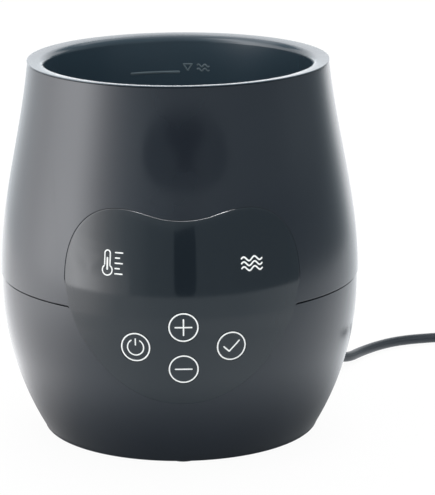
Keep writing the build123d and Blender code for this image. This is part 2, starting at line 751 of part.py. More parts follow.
# ---- Power board ------------------------------------------------------------
pillar_spots = [(sx * PILLAR_X, sy * PILLAR_Y) for sx in (-1, 1) for sy in (-1, 1)]
with BuildPart() as power_board:
    with BuildSketch(Plane.XY.offset(POWER_Z)):
        RectangleRounded(POWER_LONG, POWER_WIDE, POWER_CORNER)
        with Locations(*pillar_spots):
            Circle(SCREW_R + FIT, mode=Mode.SUBTRACT)
    extrude(amount=BOARD_WALL)
save(power_board.part, "power_board")

power_seat = Plane(origin=(0, 0, POWER_TOP), x_dir=(1, 0, 0), z_dir=(0, 0, -1))
power_grip = BOARD_WALL + POWER_SCREW_GRIP
save(
    screws(SCREW_R, power_grip, SCREW_HEAD_R, SCREW_HEAD, power_seat, pillar_spots),
    "power_board_screws",
)


def block(name, size, spot, corner=0.6):
    """Box-shaped component standing on the power board."""
    long, wide, tall = size
    with BuildPart() as body:
        with BuildSketch(Plane.XY.offset(POWER_TOP)):
            with Locations(spot):
                RectangleRounded(long, wide, corner)
        extrude(amount=tall)
    save(body.part, name)


def can(name, radius, tall, spot):
    """Round component standing on the power board."""
    with BuildPart() as body:
        with BuildSketch(Plane.XY.offset(POWER_TOP)):
            with Locations(spot):
                Circle(radius)
        extrude(amount=tall)
        chamfer(body.faces().sort_by(Axis.Z)[-1].edges(), radius / 12)
    save(body.part, name)


block("transformer", TRANSFORMER, TRANSFORMER_AT)
block("power_relay", RELAY, RELAY_AT)
block("noise_capacitor", NOISE_CAP, NOISE_CAP_AT)
can("smoothing_capacitor", SMOOTH_CAP_R, SMOOTH_CAP_TALL, SMOOTH_CAP_AT)
can("buzzer", BUZZER_R, BUZZER_TALL, BUZZER_AT)

with BuildPart() as mains_fuse:
    with BuildSketch(Plane.YZ.offset(FUSE_AT[0] - FUSE_LONG / 2)):
        with Locations((FUSE_AT[1], POWER_TOP + FUSE_R)):
            Circle(FUSE_R)
    extrude(amount=FUSE_LONG)
    for end in (-1, 1):
        with BuildSketch(Plane.YZ.offset(FUSE_AT[0] + end * (FUSE_LONG / 2 - FUSE_R))):
            with Locations((FUSE_AT[1], POWER_TOP + FUSE_R / 2)):
                Rectangle(2.4 * FUSE_R, FUSE_R)
        extrude(amount=FUSE_R / 2, both=True)
save(mains_fuse.part, "mains_fuse")

terminal_x, terminal_y = TERMINAL_AT
wire_z = POWER_TOP + TERMINAL[2] / 2
wire_xs = [terminal_x - TERMINAL[0] / 4, terminal_x + TERMINAL[0] / 4]
block("mains_terminal", TERMINAL, TERMINAL_AT)

socket_long, socket_wide, socket_tall = SOCKET
ribbon_socket_y = -POWER_WIDE / 2 + socket_wide / 2 + 1
with BuildPart() as power_sockets:
    with BuildSketch(Plane.XY.offset(POWER_TOP)):
        with Locations((0, ribbon_socket_y), *lead_spots):
            Rectangle(socket_long, socket_wide)
    extrude(amount=socket_tall)
save(power_sockets.part, "power_sockets")

with BuildPart() as panel_socket:
    with BuildSketch(Plane.XZ.offset(BOARD_Y)):
        with Locations((0, BOARD_LOW + socket_wide / 2)):
            Rectangle(socket_long, socket_wide)
    extrude(amount=socket_tall - 1)
save(panel_socket.part, "panel_socket")

# ---- Wiring inside ----------------------------------------------------------
ribbon_y = -(BOARD_Y + (socket_tall - 1) / 2)
ribbon_z = POWER_TOP + socket_tall / 2
ribbon_end = ribbon_socket_y - socket_wide / 2
with BuildPart() as ribbon_cable:
    with BuildLine() as ribbon_path:
        FilletPolyline(
            (0, ribbon_y, BOARD_LOW),
            (0, ribbon_y, ribbon_z),
            (0, ribbon_end, ribbon_z),
            radius=8 * RIBBON_WALL,
        )
    with BuildSketch(Plane(origin=(0, ribbon_y, BOARD_LOW), x_dir=(1, 0, 0), z_dir=(0, 0, -1))):
        Rectangle(RIBBON_WIDE, RIBBON_WALL)
    sweep()
save(ribbon_cable.part, "ribbon_cable")

with BuildPart() as heater_leads:
    with BuildSketch(Plane.XY.offset(POWER_TOP + socket_tall)):
        with Locations(*HEATER_PINS):
            Circle(LEAD_R)
    extrude(amount=HEATER_PIN_END - POWER_TOP - socket_tall)
save(heater_leads.part, "heater_leads")

with BuildPart() as sensor_leads:
    with BuildSketch(Plane.XY.offset(POWER_TOP + socket_tall)):
        with Locations((0, -SENSOR_Y), (0, SENSOR_Y)):
            Circle(LEAD_R)
    extrude(amount=SPREADER_Z - SENSOR_TALL - POWER_TOP - socket_tall)
save(sensor_leads.part, "sensor_leads")

# ---- Cord entry -------------------------------------------------------------
relief_end = BOSS_OUT + PASTE + RELIEF_LONG
with BuildPart() as strain_relief:
    with BuildSketch(cord_plane(COLLAR_IN)):
        Circle(GLAND_COLLAR_R)
    extrude(amount=GLAND_COLLAR)
    with BuildSketch(cord_plane(COLLAR_IN)):
        Circle(GLAND_NECK_R - PASTE)
    extrude(amount=BOSS_OUT + 2 * GLAND_COLLAR - COLLAR_IN)
    with BuildSketch(cord_plane(BOSS_OUT + PASTE)):
        Circle(RELIEF_R)
    with BuildSketch(cord_plane(relief_end)):
        Circle(RELIEF_TIP_R)
    loft()
save(strain_relief.part, "strain_relief")

with BuildPart() as cord_tail:
    with BuildSketch(cord_plane(TAIL_END_R)):
        Circle(CORD_R)
    extrude(amount=COLLAR_IN - TAIL_END_R)
save(cord_tail.part, "cord_tail")

clamp_tall = GLAND_Z + CORD_R + CLAMP_CAP - LEDGE_TOP
side_way = Vector(-GLAND_WAY.Y, GLAND_WAY.X, 0)
clamp_foot = GLAND_WAY * CLAMP_RING_R + Vector(0, 0, LEDGE_TOP)
clamp_flat = Plane(origin=clamp_foot, x_dir=side_way, z_dir=(0, 0, 1))
with BuildPart() as cord_clamp:
    with BuildSketch(clamp_flat):
        RectangleRounded(CLAMP_LONG, CLAMP_DEEP, 1)
        with Locations((-CLAMP_SCREW_X, 0), (CLAMP_SCREW_X, 0)):
            Circle(BOARD_SCREW_R, mode=Mode.SUBTRACT)
    extrude(amount=clamp_tall)
    with BuildSketch(cord_plane(CLAMP_RING_R - CLAMP_DEEP)):
        Circle(CORD_R)
    extrude(amount=2 * CLAMP_DEEP, mode=Mode.SUBTRACT)
save(cord_clamp.part, "cord_clamp")

clamp_top = Plane(origin=clamp_foot + Vector(0, 0, clamp_tall), x_dir=side_way, z_dir=(0, 0, -1))
save(
    screws(
        BOARD_SCREW_R, clamp_tall, BOARD_SCREW_HEAD_R, BOARD_SCREW_HEAD, clamp_top,
        [(-CLAMP_SCREW_X, 0), (CLAMP_SCREW_X, 0)],
    ),
    "clamp_screws",
)

tail_end = GLAND_WAY * TAIL_END_R + Vector(0, 0, GLAND_Z)
mains_leads = []
for side, wire_x in ((1, wire_xs[0]), (-1, wire_xs[1])):
    start = tail_end + side_way * side * 1.1 * WIRE_R
    out = start - GLAND_WAY * LEADS_BARE
    entry_y = terminal_y + TERMINAL[1] / 2
    entry = [(wire_x, entry_y + LEADS_ENTRY, wire_z), (wire_x, entry_y, wire_z)]
    wire = tube([tuple(start), tuple(out), *entry], WIRE_R)
    mains_leads.append(wire)
save(Compound(mains_leads), "mains_leads")

# ---- Cord, coil and plug ----------------------------------------------------
coil_x, coil_y = COIL_AT
turn_r = COIL_MID_R + COIL_WIDE / 2 - CORD_R
cord_start = GLAND_WAY * relief_end + Vector(0, 0, GLAND_Z)
cord_route = [
    tuple(cord_start),
    tuple(cord_start + GLAND_WAY * CORD_STRAIGHT),
    (72.3, 71.8, 5.5),
    (78.4, 79.0, 2.9),
    (84.2, 89.3, CORD_Z),
    (93.9, 99.7, CORD_Z),
    (104.8, 107.1, CORD_Z),
    (119.0, 110.7, CORD_Z),
    (130.5, coil_y + turn_r, CORD_Z),
    (coil_x - COIL_LEAD, coil_y + turn_r, CORD_Z),
]
save(tube(cord_route, CORD_R), "power_cord")

top_turn_z = CORD_Z + 2 * CORD_R
with BuildPart() as cord_coil:
    with BuildSketch(Plane.XY.offset(CORD_LIFT)):
        with Locations(COIL_AT):
            Circle(COIL_MID_R + COIL_WIDE / 2)
            Circle(COIL_MID_R - COIL_WIDE / 2, mode=Mode.SUBTRACT)
    extrude(amount=COIL_TALL)
    fillet(cord_coil.edges().filter_by(GeomType.CIRCLE), CORD_R)
    with BuildSketch(Plane(origin=(coil_x - COIL_LEAD, coil_y + turn_r, CORD_Z), z_dir=(1, 0, 0))):
        Circle(CORD_R)
    extrude(amount=COIL_LEAD)
    with BuildSketch(Plane(origin=(coil_x + turn_r, coil_y - COIL_LEAD, top_turn_z), z_dir=(0, 1, 0))):
        Circle(CORD_R)
    extrude(amount=COIL_LEAD)
save(cord_coil.part, "cord_coil")

plug_y = coil_y - COIL_LEAD - PLUG_RELIEF
plug_plane = Plane(origin=(coil_x + turn_r, plug_y, top_turn_z), x_dir=(1, 0, 0), z_dir=(0, -1, 0))
blade_spots = [(-BLADE_PITCH / 2, 0), (BLADE_PITCH / 2, 0)]
with BuildPart() as plug_body:
    with BuildSketch(plug_plane):
        RectangleRounded(PLUG_WIDE, PLUG_TALL, PLUG_ROUND)
    extrude(amount=PLUG_LONG)
    fillet(plug_body.faces().sort_by(Axis.Y)[-1].edges(), PLUG_ROUND * 0.8)
    with BuildSketch(plug_plane.offset(-PLUG_RELIEF)):
        Circle(RELIEF_TIP_R)
    with BuildSketch(plug_plane.offset(PLUG_ROUND / 3)):
        Circle(GLAND_COLLAR_R)
    loft()
    with BuildSketch(plug_plane.offset(PLUG_LONG - BLADE_WIDE)):
        with Locations(*blade_spots):
            Rectangle(BLADE_THICK, BLADE_WIDE)
    extrude(amount=BLADE_WIDE, mode=Mode.SUBTRACT)
save(plug_body.part, "plug_body")

with BuildPart() as plug_blades:
    with BuildSketch(plug_plane.offset(PLUG_LONG - BLADE_WIDE)):
        with Locations(*blade_spots):
            Rectangle(BLADE_THICK, BLADE_WIDE)
    extrude(amount=BLADE_WIDE + BLADE_LONG)
save(plug_blades.part, "plug_blades")
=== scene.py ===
"""Sake warmer: moulded surfaces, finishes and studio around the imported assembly.

Laid out as an add-on: sizes and colours are properties, each group of pieces has an operator,
and a panel in the sidebar lists them. Lengths are metres, +Z up, the control panel faces -Y.
"""

import json
import math

import bpy
import numpy as np
from bpy.props import FloatProperty, FloatVectorProperty, IntProperty, PointerProperty, StringProperty
from mathutils import Matrix, Vector


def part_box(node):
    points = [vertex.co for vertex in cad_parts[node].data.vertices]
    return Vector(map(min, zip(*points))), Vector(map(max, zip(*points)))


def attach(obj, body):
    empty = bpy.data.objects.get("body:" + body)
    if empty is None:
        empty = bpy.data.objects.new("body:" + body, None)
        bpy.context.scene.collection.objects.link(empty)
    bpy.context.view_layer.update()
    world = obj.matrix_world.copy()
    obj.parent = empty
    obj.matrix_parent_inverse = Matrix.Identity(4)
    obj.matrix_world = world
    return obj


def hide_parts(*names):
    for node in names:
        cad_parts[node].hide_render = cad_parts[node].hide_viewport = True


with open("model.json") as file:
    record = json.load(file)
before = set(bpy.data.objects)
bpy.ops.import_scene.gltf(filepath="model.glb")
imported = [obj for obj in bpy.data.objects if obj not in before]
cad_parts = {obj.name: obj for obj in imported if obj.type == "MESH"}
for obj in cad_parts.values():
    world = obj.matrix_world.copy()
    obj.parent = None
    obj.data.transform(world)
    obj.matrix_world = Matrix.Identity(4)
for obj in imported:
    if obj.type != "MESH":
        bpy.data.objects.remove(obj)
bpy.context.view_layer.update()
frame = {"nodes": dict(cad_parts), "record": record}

bl_info = {
    "name": "Sake warmer",
    "version": (1, 0, 0),
    "blender": (4, 5, 0),
    "location": "View3D > Sidebar > Warmer",
    "description": "Moulded surfaces, finishes and studio of a countertop sake warmer",
    "category": "Object",
}

MM = 0.001
MACHINE = "machine"
KEY_NAMES = ("plus", "minus", "power", "set")


# ---- Properties --------------------------------------------------
def length(name, description, millimetres):
    """A length property, given in millimetres and kept in metres."""
    return FloatProperty(name=name, description=description, default=millimetres * MM, unit="LENGTH")


def angle(name, description, degrees):
    """An angle property, given in degrees and kept in radians."""
    return FloatProperty(name=name, description=description, default=math.radians(degrees), subtype="ANGLE")


def number(name, description, value):
    """A plain number property."""
    return FloatProperty(name=name, description=description, default=value)


def colour(name, description, code):
    """A colour property, kept as an sRGB hex code."""
    return StringProperty(name=name, description=description, default=code)


class WarmerCasing(bpy.types.PropertyGroup):
    body_radius: length("Body radius", "Widest radius, at the upper shell's foot", 75.0)
    lower_step: length("Lower step", "How far the lower shell stands back", 0.5)
    parting_height: length("Parting height", "Height of the line between the shells", 67.5)
    seam_radius: length("Seam radius", "Top edge of the upper shell", 62.38)
    seam_height: length("Seam height", "Height of the top edge", 156.55)
    seam_lean: angle("Seam lean", "Inward lean of the wall at the top edge", 6.2)
    pull_low: length("Lower pull", "Handle of the shoulder curve at its foot", 31.0)
    pull_top: length("Upper pull", "Handle of the shoulder curve at its top", 31.55)
    base_radius: length("Base radius", "Foot of the lower shell", 57.4)
    base_height: length("Base height", "Casing's underside above the table", 1.0)
    flank_radius: length("Flank radius", "Lower shell half way up", 71.0)
    opening_radius: length("Opening radius", "Bottom opening of the lower shell", 55.9)
    rim_height: length("Rim height", "Depth of the rim round the base plate", 2.4)
    wall: length("Wall", "Wall thickness of both shells", 2.5)
    tongue_back: length("Tongue back", "Thickness of the tongue inside the shells", 0.9)
    tongue_rise: length("Tongue rise", "Half of the tongue's height", 2.0)
    tongue_depth: length("Tongue depth", "Depth of the tongue's web below the surface", 1.4)
    edge_round: length("Edge round", "Rounding of the upper shell's edges", 0.18)
    low_edge_round: length("Lower edge round", "Rounding of the lower shell's edges", 0.04)
    parting_gap: length("Parting gap", "Half of the open line between the shells", 0.34)
    curl_drop: length("Curl drop", "How far the parting line turns down", 2.0)
    curl_run: length("Curl run", "Length over which the line turns down", 2.4)
    base_round: length("Base round", "Rounding of the foot of the casing", 1.3)


class WarmerTank(bpy.types.PropertyGroup):
    floor_radius: length("Floor radius", "Inside of the tank at its floor", 52.0)
    floor_height: length("Floor height", "Tank's floor above the table", 44.5)
    rim_radius: length("Rim radius", "Inside of the tank at its lip", 55.48)
    rim_height: length("Rim height", "Inner edge of the lip above the table", 156.5)
    mark_height: length("Mark height", "Level mark above the table", 141.0)
    mark_rise: length("Mark rise", "How far the level mark stands off the wall", 0.03)
    mark_lean: number("Mark lean", "Slope of the wall behind the level mark", 3.5 / 113.5)


class WarmerPanel(bpy.types.PropertyGroup):
    dip_height: length("Dip height", "Middle of the top edge", 105.2)
    lobe_x: length("Lobe place", "Sideways place of each lobe's top", 25.2)
    lobe_height: length("Lobe height", "Top of each lobe", 109.2)
    half_width: length("Half width", "Widest half of the panel", 47.1)
    widest_height: length("Widest height", "Where the panel is widest", 78.0)
    low_height: length("Low height", "Bottom of the panel", 29.5)
    dip_pull: length("Dip pull", "Curve handle at the dip", 12.5)
    lobe_pull_in: length("Inner lobe pull", "Curve handle at the lobe, toward the middle", 10.2)
    lobe_pull_out: length("Outer lobe pull", "Curve handle at the lobe, outward", 13.3)
    pull_up: length("Upper side pull", "Curve handle above the widest point", 19.0)
    pull_down: length("Lower side pull", "Curve handle below the widest point", 16.0)
    low_pull: length("Bottom pull", "Curve handle at the bottom", 30.0)
    recess: length("Recess", "How far the lens lies under the shells", 0.01)
    wall: length("Lens wall", "Thickness of the lens", 2.3)
    gap: length("Gap", "Running gap round the lens", 0.02)
    top_round: length("Top round", "Lens's edge beside the upper shell", 0.38)
    low_round: length("Low round", "Lens's edge beside the lower shell", 0.03)
    ease: length("Ease", "Height over which the lens steps out", 9.0)


class WarmerKeys(bpy.types.PropertyGroup):
    radius: length("Key radius", "Radius of a key cap and its printed ring", 6.2)
    gap: length("Key gap", "Gap between a key and the lens", 0.12)
    side_x: length("Side place", "Sideways place of the power and set keys", 19.05)
    side_z: length("Side height", "Height of the power and set keys", 54.0)
    plus_z: length("Plus height", "Height of the plus key", 62.7)
    minus_z: length("Minus height", "Height of the minus key", 45.0)
    stroke: length("Stroke", "Width of the printed lines", 0.58)
    ring_radius: length("Ring radius", "Outside of the printed ring", 6.0)
    ink: length("Ink", "How far the ink stands proud", 0.02)
    edge_round: length("Edge round", "Rounding of a cap's edge", 0.15)
    flange_wall: length("Flange wall", "Thickness of a key's flange", 1.2)
    stem_radius: length("Stem radius", "Radius of the stem behind a key", 2.5)


class WarmerCord(bpy.types.PropertyGroup):
    radius: length("Cord radius", "Half the thickness of the round cord", 2.25)
    exit_turn: angle("Exit turn", "Way the cord leaves, from +X to +Y", 45)
    exit_height: length("Exit height", "Middle of the cord at the casing", 8.6)
    boss_radius: length("Boss radius", "Flat round boss on the casing", 5.6)
    boss_start: length("Boss start", "Buried end of the boss, from the axis", 59.5)
    boss_end: length("Boss end", "Face of the boss, from the axis", 64.58)
    relief_end: length("Relief end", "Tip of the relief, from the axis", 84.68)
    lift: length("Lift", "Cord above the table", 0.05)
    coil_x: length("Coil X", "Centre of the coil", 158.0)
    coil_y: length("Coil Y", "Centre of the coil", 80.0)
    coil_outer: length("Outer turn", "Radius of the outermost turn", 31.75)
    coil_inner: length("Inner turn", "Radius of the innermost turn", 18.35)
    coil_lead: length("Lead", "Straight end of the coil", 19.5)
    turns_in: number("Turns in", "Turns of the lower layer", 2.95)
    turns_up: number("Turns up", "Part turn that climbs", 0.5)
    turns_out: number("Turns out", "Turns of the upper layer", 2.8)
    steps: IntProperty(name="Steps", description="Route points in each turn", default=24)


class WarmerFinish(bpy.types.PropertyGroup):
    casing: colour("Casing", "Moulded ABS of the shells", "#181E26")
    lens: colour("Lens", "Smoked acrylic of the panel", "#1A2127")
    tank: colour("Tank", "Polypropylene of the tank", "#2B3A44")
    ink: colour("Ink", "Screen print on the panel", "#E9ECEC")
    mark: colour("Level mark", "Raised level mark in the tank", "#4C5B62")
    cord: colour("Cord", "PVC of the cord", "#171F26")
    foot: colour("Foot", "Rubber of the feet", "#23262A")
    steel: colour("Steel", "Stainless plate in the tank", "#B4B5B3")


class WarmerStage(bpy.types.PropertyGroup):
    distance: length("Distance", "Camera to the middle of the body", 1100.0)
    aim_height: length("Aim height", "Height the camera circles", 80.0)
    elevation: angle("Elevation", "Camera above the horizon", 14.231)
    turn: angle("Turn", "Camera turned round the body", -0.9)
    roll: angle("Roll", "Camera rolled about its axis", 0.494)
    focal_pixels: number("Focal length", "Focal length in frame pixels", 2612.21)
    aim_pixel: FloatVectorProperty(name="Aim pixel", description="Where the aim point falls in the frame",
                                   size=2, default=(179.745, 238.70))
    frame_size: FloatVectorProperty(name="Frame", description="Width and height of the frame in pixels",
                                    size=2, default=(435.0, 495.0))
    fill: number("Fill", "Sky's light on surfaces", 0.55)
    table_white: number("Table white", "Plain white in the table's look", 0.955)
    tent_radius: length("Tent radius", "Radius of the light tent", 490.0)
    card_radius: length("Card radius", "Radius of most cards in the tent", 486.0)


class WarmerSettings(bpy.types.PropertyGroup):
    casing: PointerProperty(type=WarmerCasing)
    tank: PointerProperty(type=WarmerTank)
    panel: PointerProperty(type=WarmerPanel)
    keys: PointerProperty(type=WarmerKeys)
    cord: PointerProperty(type=WarmerCord)
    finish: PointerProperty(type=WarmerFinish)
    stage: PointerProperty(type=WarmerStage)


# ---- Paths and meshes from grids ---------------------------------
def mm(*rows):
    """Rows of millimetres as rows of metres."""
    return [tuple(value * MM for value in row) for row in rows]


def once_round(steps):
    """Angles of a full turn, without the last, which would repeat the first."""
    return np.linspace(0, 2 * math.pi, steps, endpoint=False)


def superellipse(bend, power):
    """Cosine and sine of the angles, each raised to a power with its sign kept."""
    return [np.sign(f) * np.abs(f) ** power for f in (np.cos(bend), np.sin(bend))]


def unit(rows):
    """Rows scaled to length one."""
    return rows / np.linalg.norm(rows, axis=1)[:, None]


def distances(path):
    """Distance along a path to each of its points."""
    return np.concatenate([[0], np.cumsum(np.linalg.norm(np.diff(path, axis=0), axis=1))])


def at_distances(path, along, at):
    """Points of a path at distances along it."""
    return np.stack([np.interp(at, along, path[:, i]) for i in (0, 1)], -1)


def new_object(name, data):
    """Object in the scene's own collection."""
    made = bpy.data.objects.new(name, data)
    bpy.context.scene.collection.objects.link(made)
    return made


def grid_faces(rows, columns, wrap_rows, wrap_columns, first=0):
    """Quads of a grid, (row, column) numbered row by row from first, wrapped as asked."""
    row = np.arange(rows if wrap_rows else rows - 1)
    column = np.arange(columns if wrap_columns else columns - 1)
    r, c = np.meshgrid(row, column, indexing="ij")
    r2, c2 = (r + 1) % rows, (c + 1) % columns
    corners = (r * columns + c, r * columns + c2, r2 * columns + c2, r2 * columns + c)
    return np.stack(corners, -1).reshape(-1, 4) + first


def mesh_object(name, points, faces, smooth_angle=math.radians(32)):
    """Mesh object from an array of points and arrays of quads or triangles, smooth below an angle."""
    mesh = bpy.data.meshes.new(name)
    mesh.vertices.add(len(points))
    mesh.vertices.foreach_set("co", np.asarray(points, np.float32).ravel())
    sides = np.concatenate([np.full(len(f), f.shape[1]) for f in faces])
    mesh.loops.add(int(sides.sum()))
    mesh.loops.foreach_set("vertex_index", np.concatenate([f.ravel() for f in faces]).astype(np.int32))
    mesh.polygons.add(len(sides))
    starts = np.concatenate([[0], np.cumsum(sides)[:-1]]).astype(np.int32)
    mesh.polygons.foreach_set("loop_start", starts)
    mesh.update(calc_edges=True)
    mesh.validate()
    mesh.shade_smooth()
    mesh.set_sharp_from_angle(angle=smooth_angle)
    return new_object(name, mesh)


def grid_object(name, grids, ends="points", **more):
    """One object from a list of (rows, columns, 3) grids. Columns close round on themselves, and the
    first and last rows are joined to each other ("joined") or are each one point, drawn as a fan of
    triangles ("points"). An "open" grid is a sheet with free edges."""
    points, faces, count = [], [], 0
    for grid in grids:
        columns = grid.shape[1]
        body = grid[1:-1] if ends == "points" else grid
        faces.append(grid_faces(len(body), columns, ends == "joined", ends != "open", count))
        points.append(body.reshape(-1, 3))
        end = count + len(body) * columns
        if ends == "points":
            around = np.arange(columns)
            after = (around + 1) % columns
            last = end - columns
            faces.append(np.stack([np.full(columns, end), count + after, count + around], -1))
            faces.append(np.stack([np.full(columns, end + 1), last + around, last + after], -1))
            points.append(grid[[0, -1], 0])
            end += 2
        count = end
    return mesh_object(name, np.concatenate(points), faces, **more)


def rounded(corners, arc_steps=7):
    """Closed outline through (r, z, round) corners, each round a tangent circular arc."""
    corners = [np.array(c, float) for c in corners]
    outline = []
    for i, corner in enumerate(corners):
        here, radius = corner[:2], corner[2]
        if radius <= 0:
            outline.append(here)
            continue
        back = corners[i - 1][:2] - here
        on = corners[(i + 1) % len(corners)][:2] - here
        back, on = back / np.linalg.norm(back), on / np.linalg.norm(on)
        half = math.acos(float(np.clip(back @ on, -1, 1))) / 2
        middle = (back + on) / np.linalg.norm(back + on)
        centre = here + middle * radius / math.sin(half)
        start = here + back * radius / math.tan(half) - centre
        end = here + on * radius / math.tan(half) - centre
        sweep = math.pi - 2 * half
        for t in np.linspace(0, 1, arc_steps):
            outline.append(centre + (math.sin((1 - t) * sweep) * start + math.sin(t * sweep) * end)
                           / math.sin(sweep))
    return np.array(outline)


def lathe(outline, segments=128, centre=(0.0, 0.0)):
    """Grid of an outline (r, z) turned about the vertical line through centre."""
    turn = once_round(segments)[None, :]
    r, z = outline[:, :1], outline[:, 1:2]
    x = centre[0] + r * np.cos(turn)
    y = centre[1] + r * np.sin(turn)
    return np.stack([x, y, z + 0 * turn], -1)


def leaning(grid, cord):
    """A lathe's grid with its axis laid level along the way that the cord leaves the casing."""
    cos, sin = math.cos(cord.exit_turn), math.sin(cord.exit_turn)
    across, up, along = grid[..., 0], grid[..., 1], grid[..., 2]
    return np.stack([along * cos - across * sin, along * sin + across * cos, cord.exit_height + up], -1)


def ribbed(start, end, start_radius, end_radius, ribs, depth, share=0.58):
    """Corners (r, z, round) of a tapering sleeve with square ribs, from start to end, in millimetres."""
    pitch = (end - start) / ribs
    corners = []
    for i in range(ribs):
        for at, sunk in ((0.0, 0), (share, 0), (share, depth), (1.0, depth)):
            z = start + (i + at) * pitch
            radius = start_radius + (end_radius - start_radius) * (z - start) / (end - start) - sunk
            corners.append((radius, z, 0.18))
    return corners


# ---- The casing's form -------------------------------------------
def bezier(points, t):
    """Cubic curve: each point weighted by its Bernstein polynomial at t."""
    p = np.array(points, float)
    t = np.asarray(t)[:, None]
    return (1 - t) ** 3 * p[0] + 3 * t * (1 - t) ** 2 * p[1] + 3 * t**2 * (1 - t) * p[2] + t**3 * p[3]


def casing_radius(casing, z, crown, inset=0.0):
    """Radius at height z: a cubic curve above the parting line, starting from the crown radius,
    and the arc through three points below it, both less the inset."""
    z = np.asarray(z, float)
    top = casing.seam_radius
    lean = top + casing.pull_top * math.tan(casing.seam_lean)
    curve = bezier([(crown, casing.parting_height), (crown, casing.parting_height + casing.pull_low),
                    (lean, casing.seam_height - casing.pull_top), (top, casing.seam_height)],
                   np.linspace(0, 1, 600))
    upper = np.interp(z, curve[:, 1], curve[:, 0])
    low, high = casing.base_height, casing.parting_height
    lower_radius = casing.body_radius - casing.lower_step
    a, b, c = [np.array(p) for p in ((casing.base_radius, low), (casing.flank_radius, (low + high) / 2),
                                     (lower_radius, high))]
    centre = np.linalg.solve(2 * np.array([b - a, c - a]), np.array([b @ b - a @ a, c @ c - a @ a]))
    span = np.linalg.norm(a - centre)
    lower = centre[0] + np.sqrt(np.maximum(span**2 - (z - centre[1]) ** 2, 0))
    return np.where(z >= high, upper, lower) - inset


def on_casing(radius, turn, z):
    """Point at a radius, turned from -Y toward +X, at a height."""
    return np.stack([radius * np.sin(turn), -radius * np.cos(turn), z + 0 * turn], -1)


def panel_radius(settings, z, inset=0.0):
    """Radius of the lens's face: level with the lower shell, easing out by the step between the
    shells until it is level with the upper shell at the parting line."""
    casing = settings.casing
    rise = np.clip((z - casing.parting_height) / settings.panel.ease + 1, 0, 1)
    eased = casing.lower_step * rise**2 * (3 - 2 * rise) * (z < casing.parting_height)
    return casing_radius(casing, z, casing.body_radius) + eased - settings.panel.recess - inset


def half_outline(settings, steps=160):
    """Right half of the heart, from the dip to the lowest point, as (turn, z): three cubic curves
    drawn on a plane across Y and carried back along Y to the panel's face."""
    p = settings.panel
    t = np.linspace(0, 1, steps)
    top = bezier([(0, p.dip_height), (p.dip_pull, p.dip_height),
                  (p.lobe_x - p.lobe_pull_in, p.lobe_height), (p.lobe_x, p.lobe_height)], t)
    side = bezier([(p.lobe_x, p.lobe_height), (p.lobe_x + p.lobe_pull_out, p.lobe_height),
                   (p.half_width, p.widest_height + p.pull_up), (p.half_width, p.widest_height)], t)
    low = bezier([(p.half_width, p.widest_height), (p.half_width, p.widest_height - p.pull_down),
                  (p.low_pull, p.low_height), (0, p.low_height)], t)
    xz = np.concatenate([top[:-1], side[:-1], low])
    return np.stack([np.arcsin(xz[:, 0] / panel_radius(settings, xz[:, 1])), xz[:, 1]], -1)


def evenly(curve, count, radius):
    """Points spaced evenly along a (turn, z) curve, measured on a cylinder of the radius."""
    along = distances(curve * np.array([radius, 1.0]))
    return at_distances(curve, along, np.linspace(0, along[-1], count))


def shell_border(settings, upper, outline_steps=170, curl_steps=14, back_steps=110):
    """Right half of a shell's edge: round the panel, up a quarter curl and back along the parting
    line, with the direction that points into the shell, the azimuth each column fans out to, and
    the gap that the edge keeps."""
    casing, radius = settings.casing, settings.casing.body_radius
    heart = half_outline(settings)
    low = casing.parting_height - casing.curl_drop
    last = np.nonzero(heart[:, 1] >= low)[0][-1]
    share = (heart[last, 1] - low) / (heart[last, 1] - heart[last + 1, 1])
    corner = heart[last] + share * (heart[last + 1] - heart[last])
    if upper:
        round_panel = np.vstack([heart[:last + 1], corner])
    else:
        round_panel = np.vstack([corner, heart[last + 1:]])[::-1]
    round_panel = evenly(round_panel, outline_steps, radius)
    bend = np.linspace(0, math.pi / 2, curl_steps)
    curl = np.stack([corner[0] + casing.curl_run / radius * (1 - np.cos(bend)),
                     low + casing.curl_drop * np.sin(bend)], -1)
    to_back = np.stack([np.linspace(curl[-1, 0], math.pi, back_steps),
                        np.full(back_steps, casing.parting_height)], -1)
    border = np.vstack([round_panel, curl[1:], to_back[1:]])
    gap = np.interp(np.arange(len(border)), [outline_steps - 1, outline_steps + curl_steps // 2],
                    [settings.panel.gap, casing.parting_gap])
    flat = border * np.array([radius, 1.0])
    slope = np.gradient(flat, axis=0)
    slope[0] = slope[-1] = (1, 0)
    slope = unit(slope)
    side = 1 if upper else -1
    inward = np.stack([-side * slope[:, 1], side * slope[:, 0]], -1)
    fan = distances(flat)
    return border, inward, fan * math.pi / fan[-1], gap


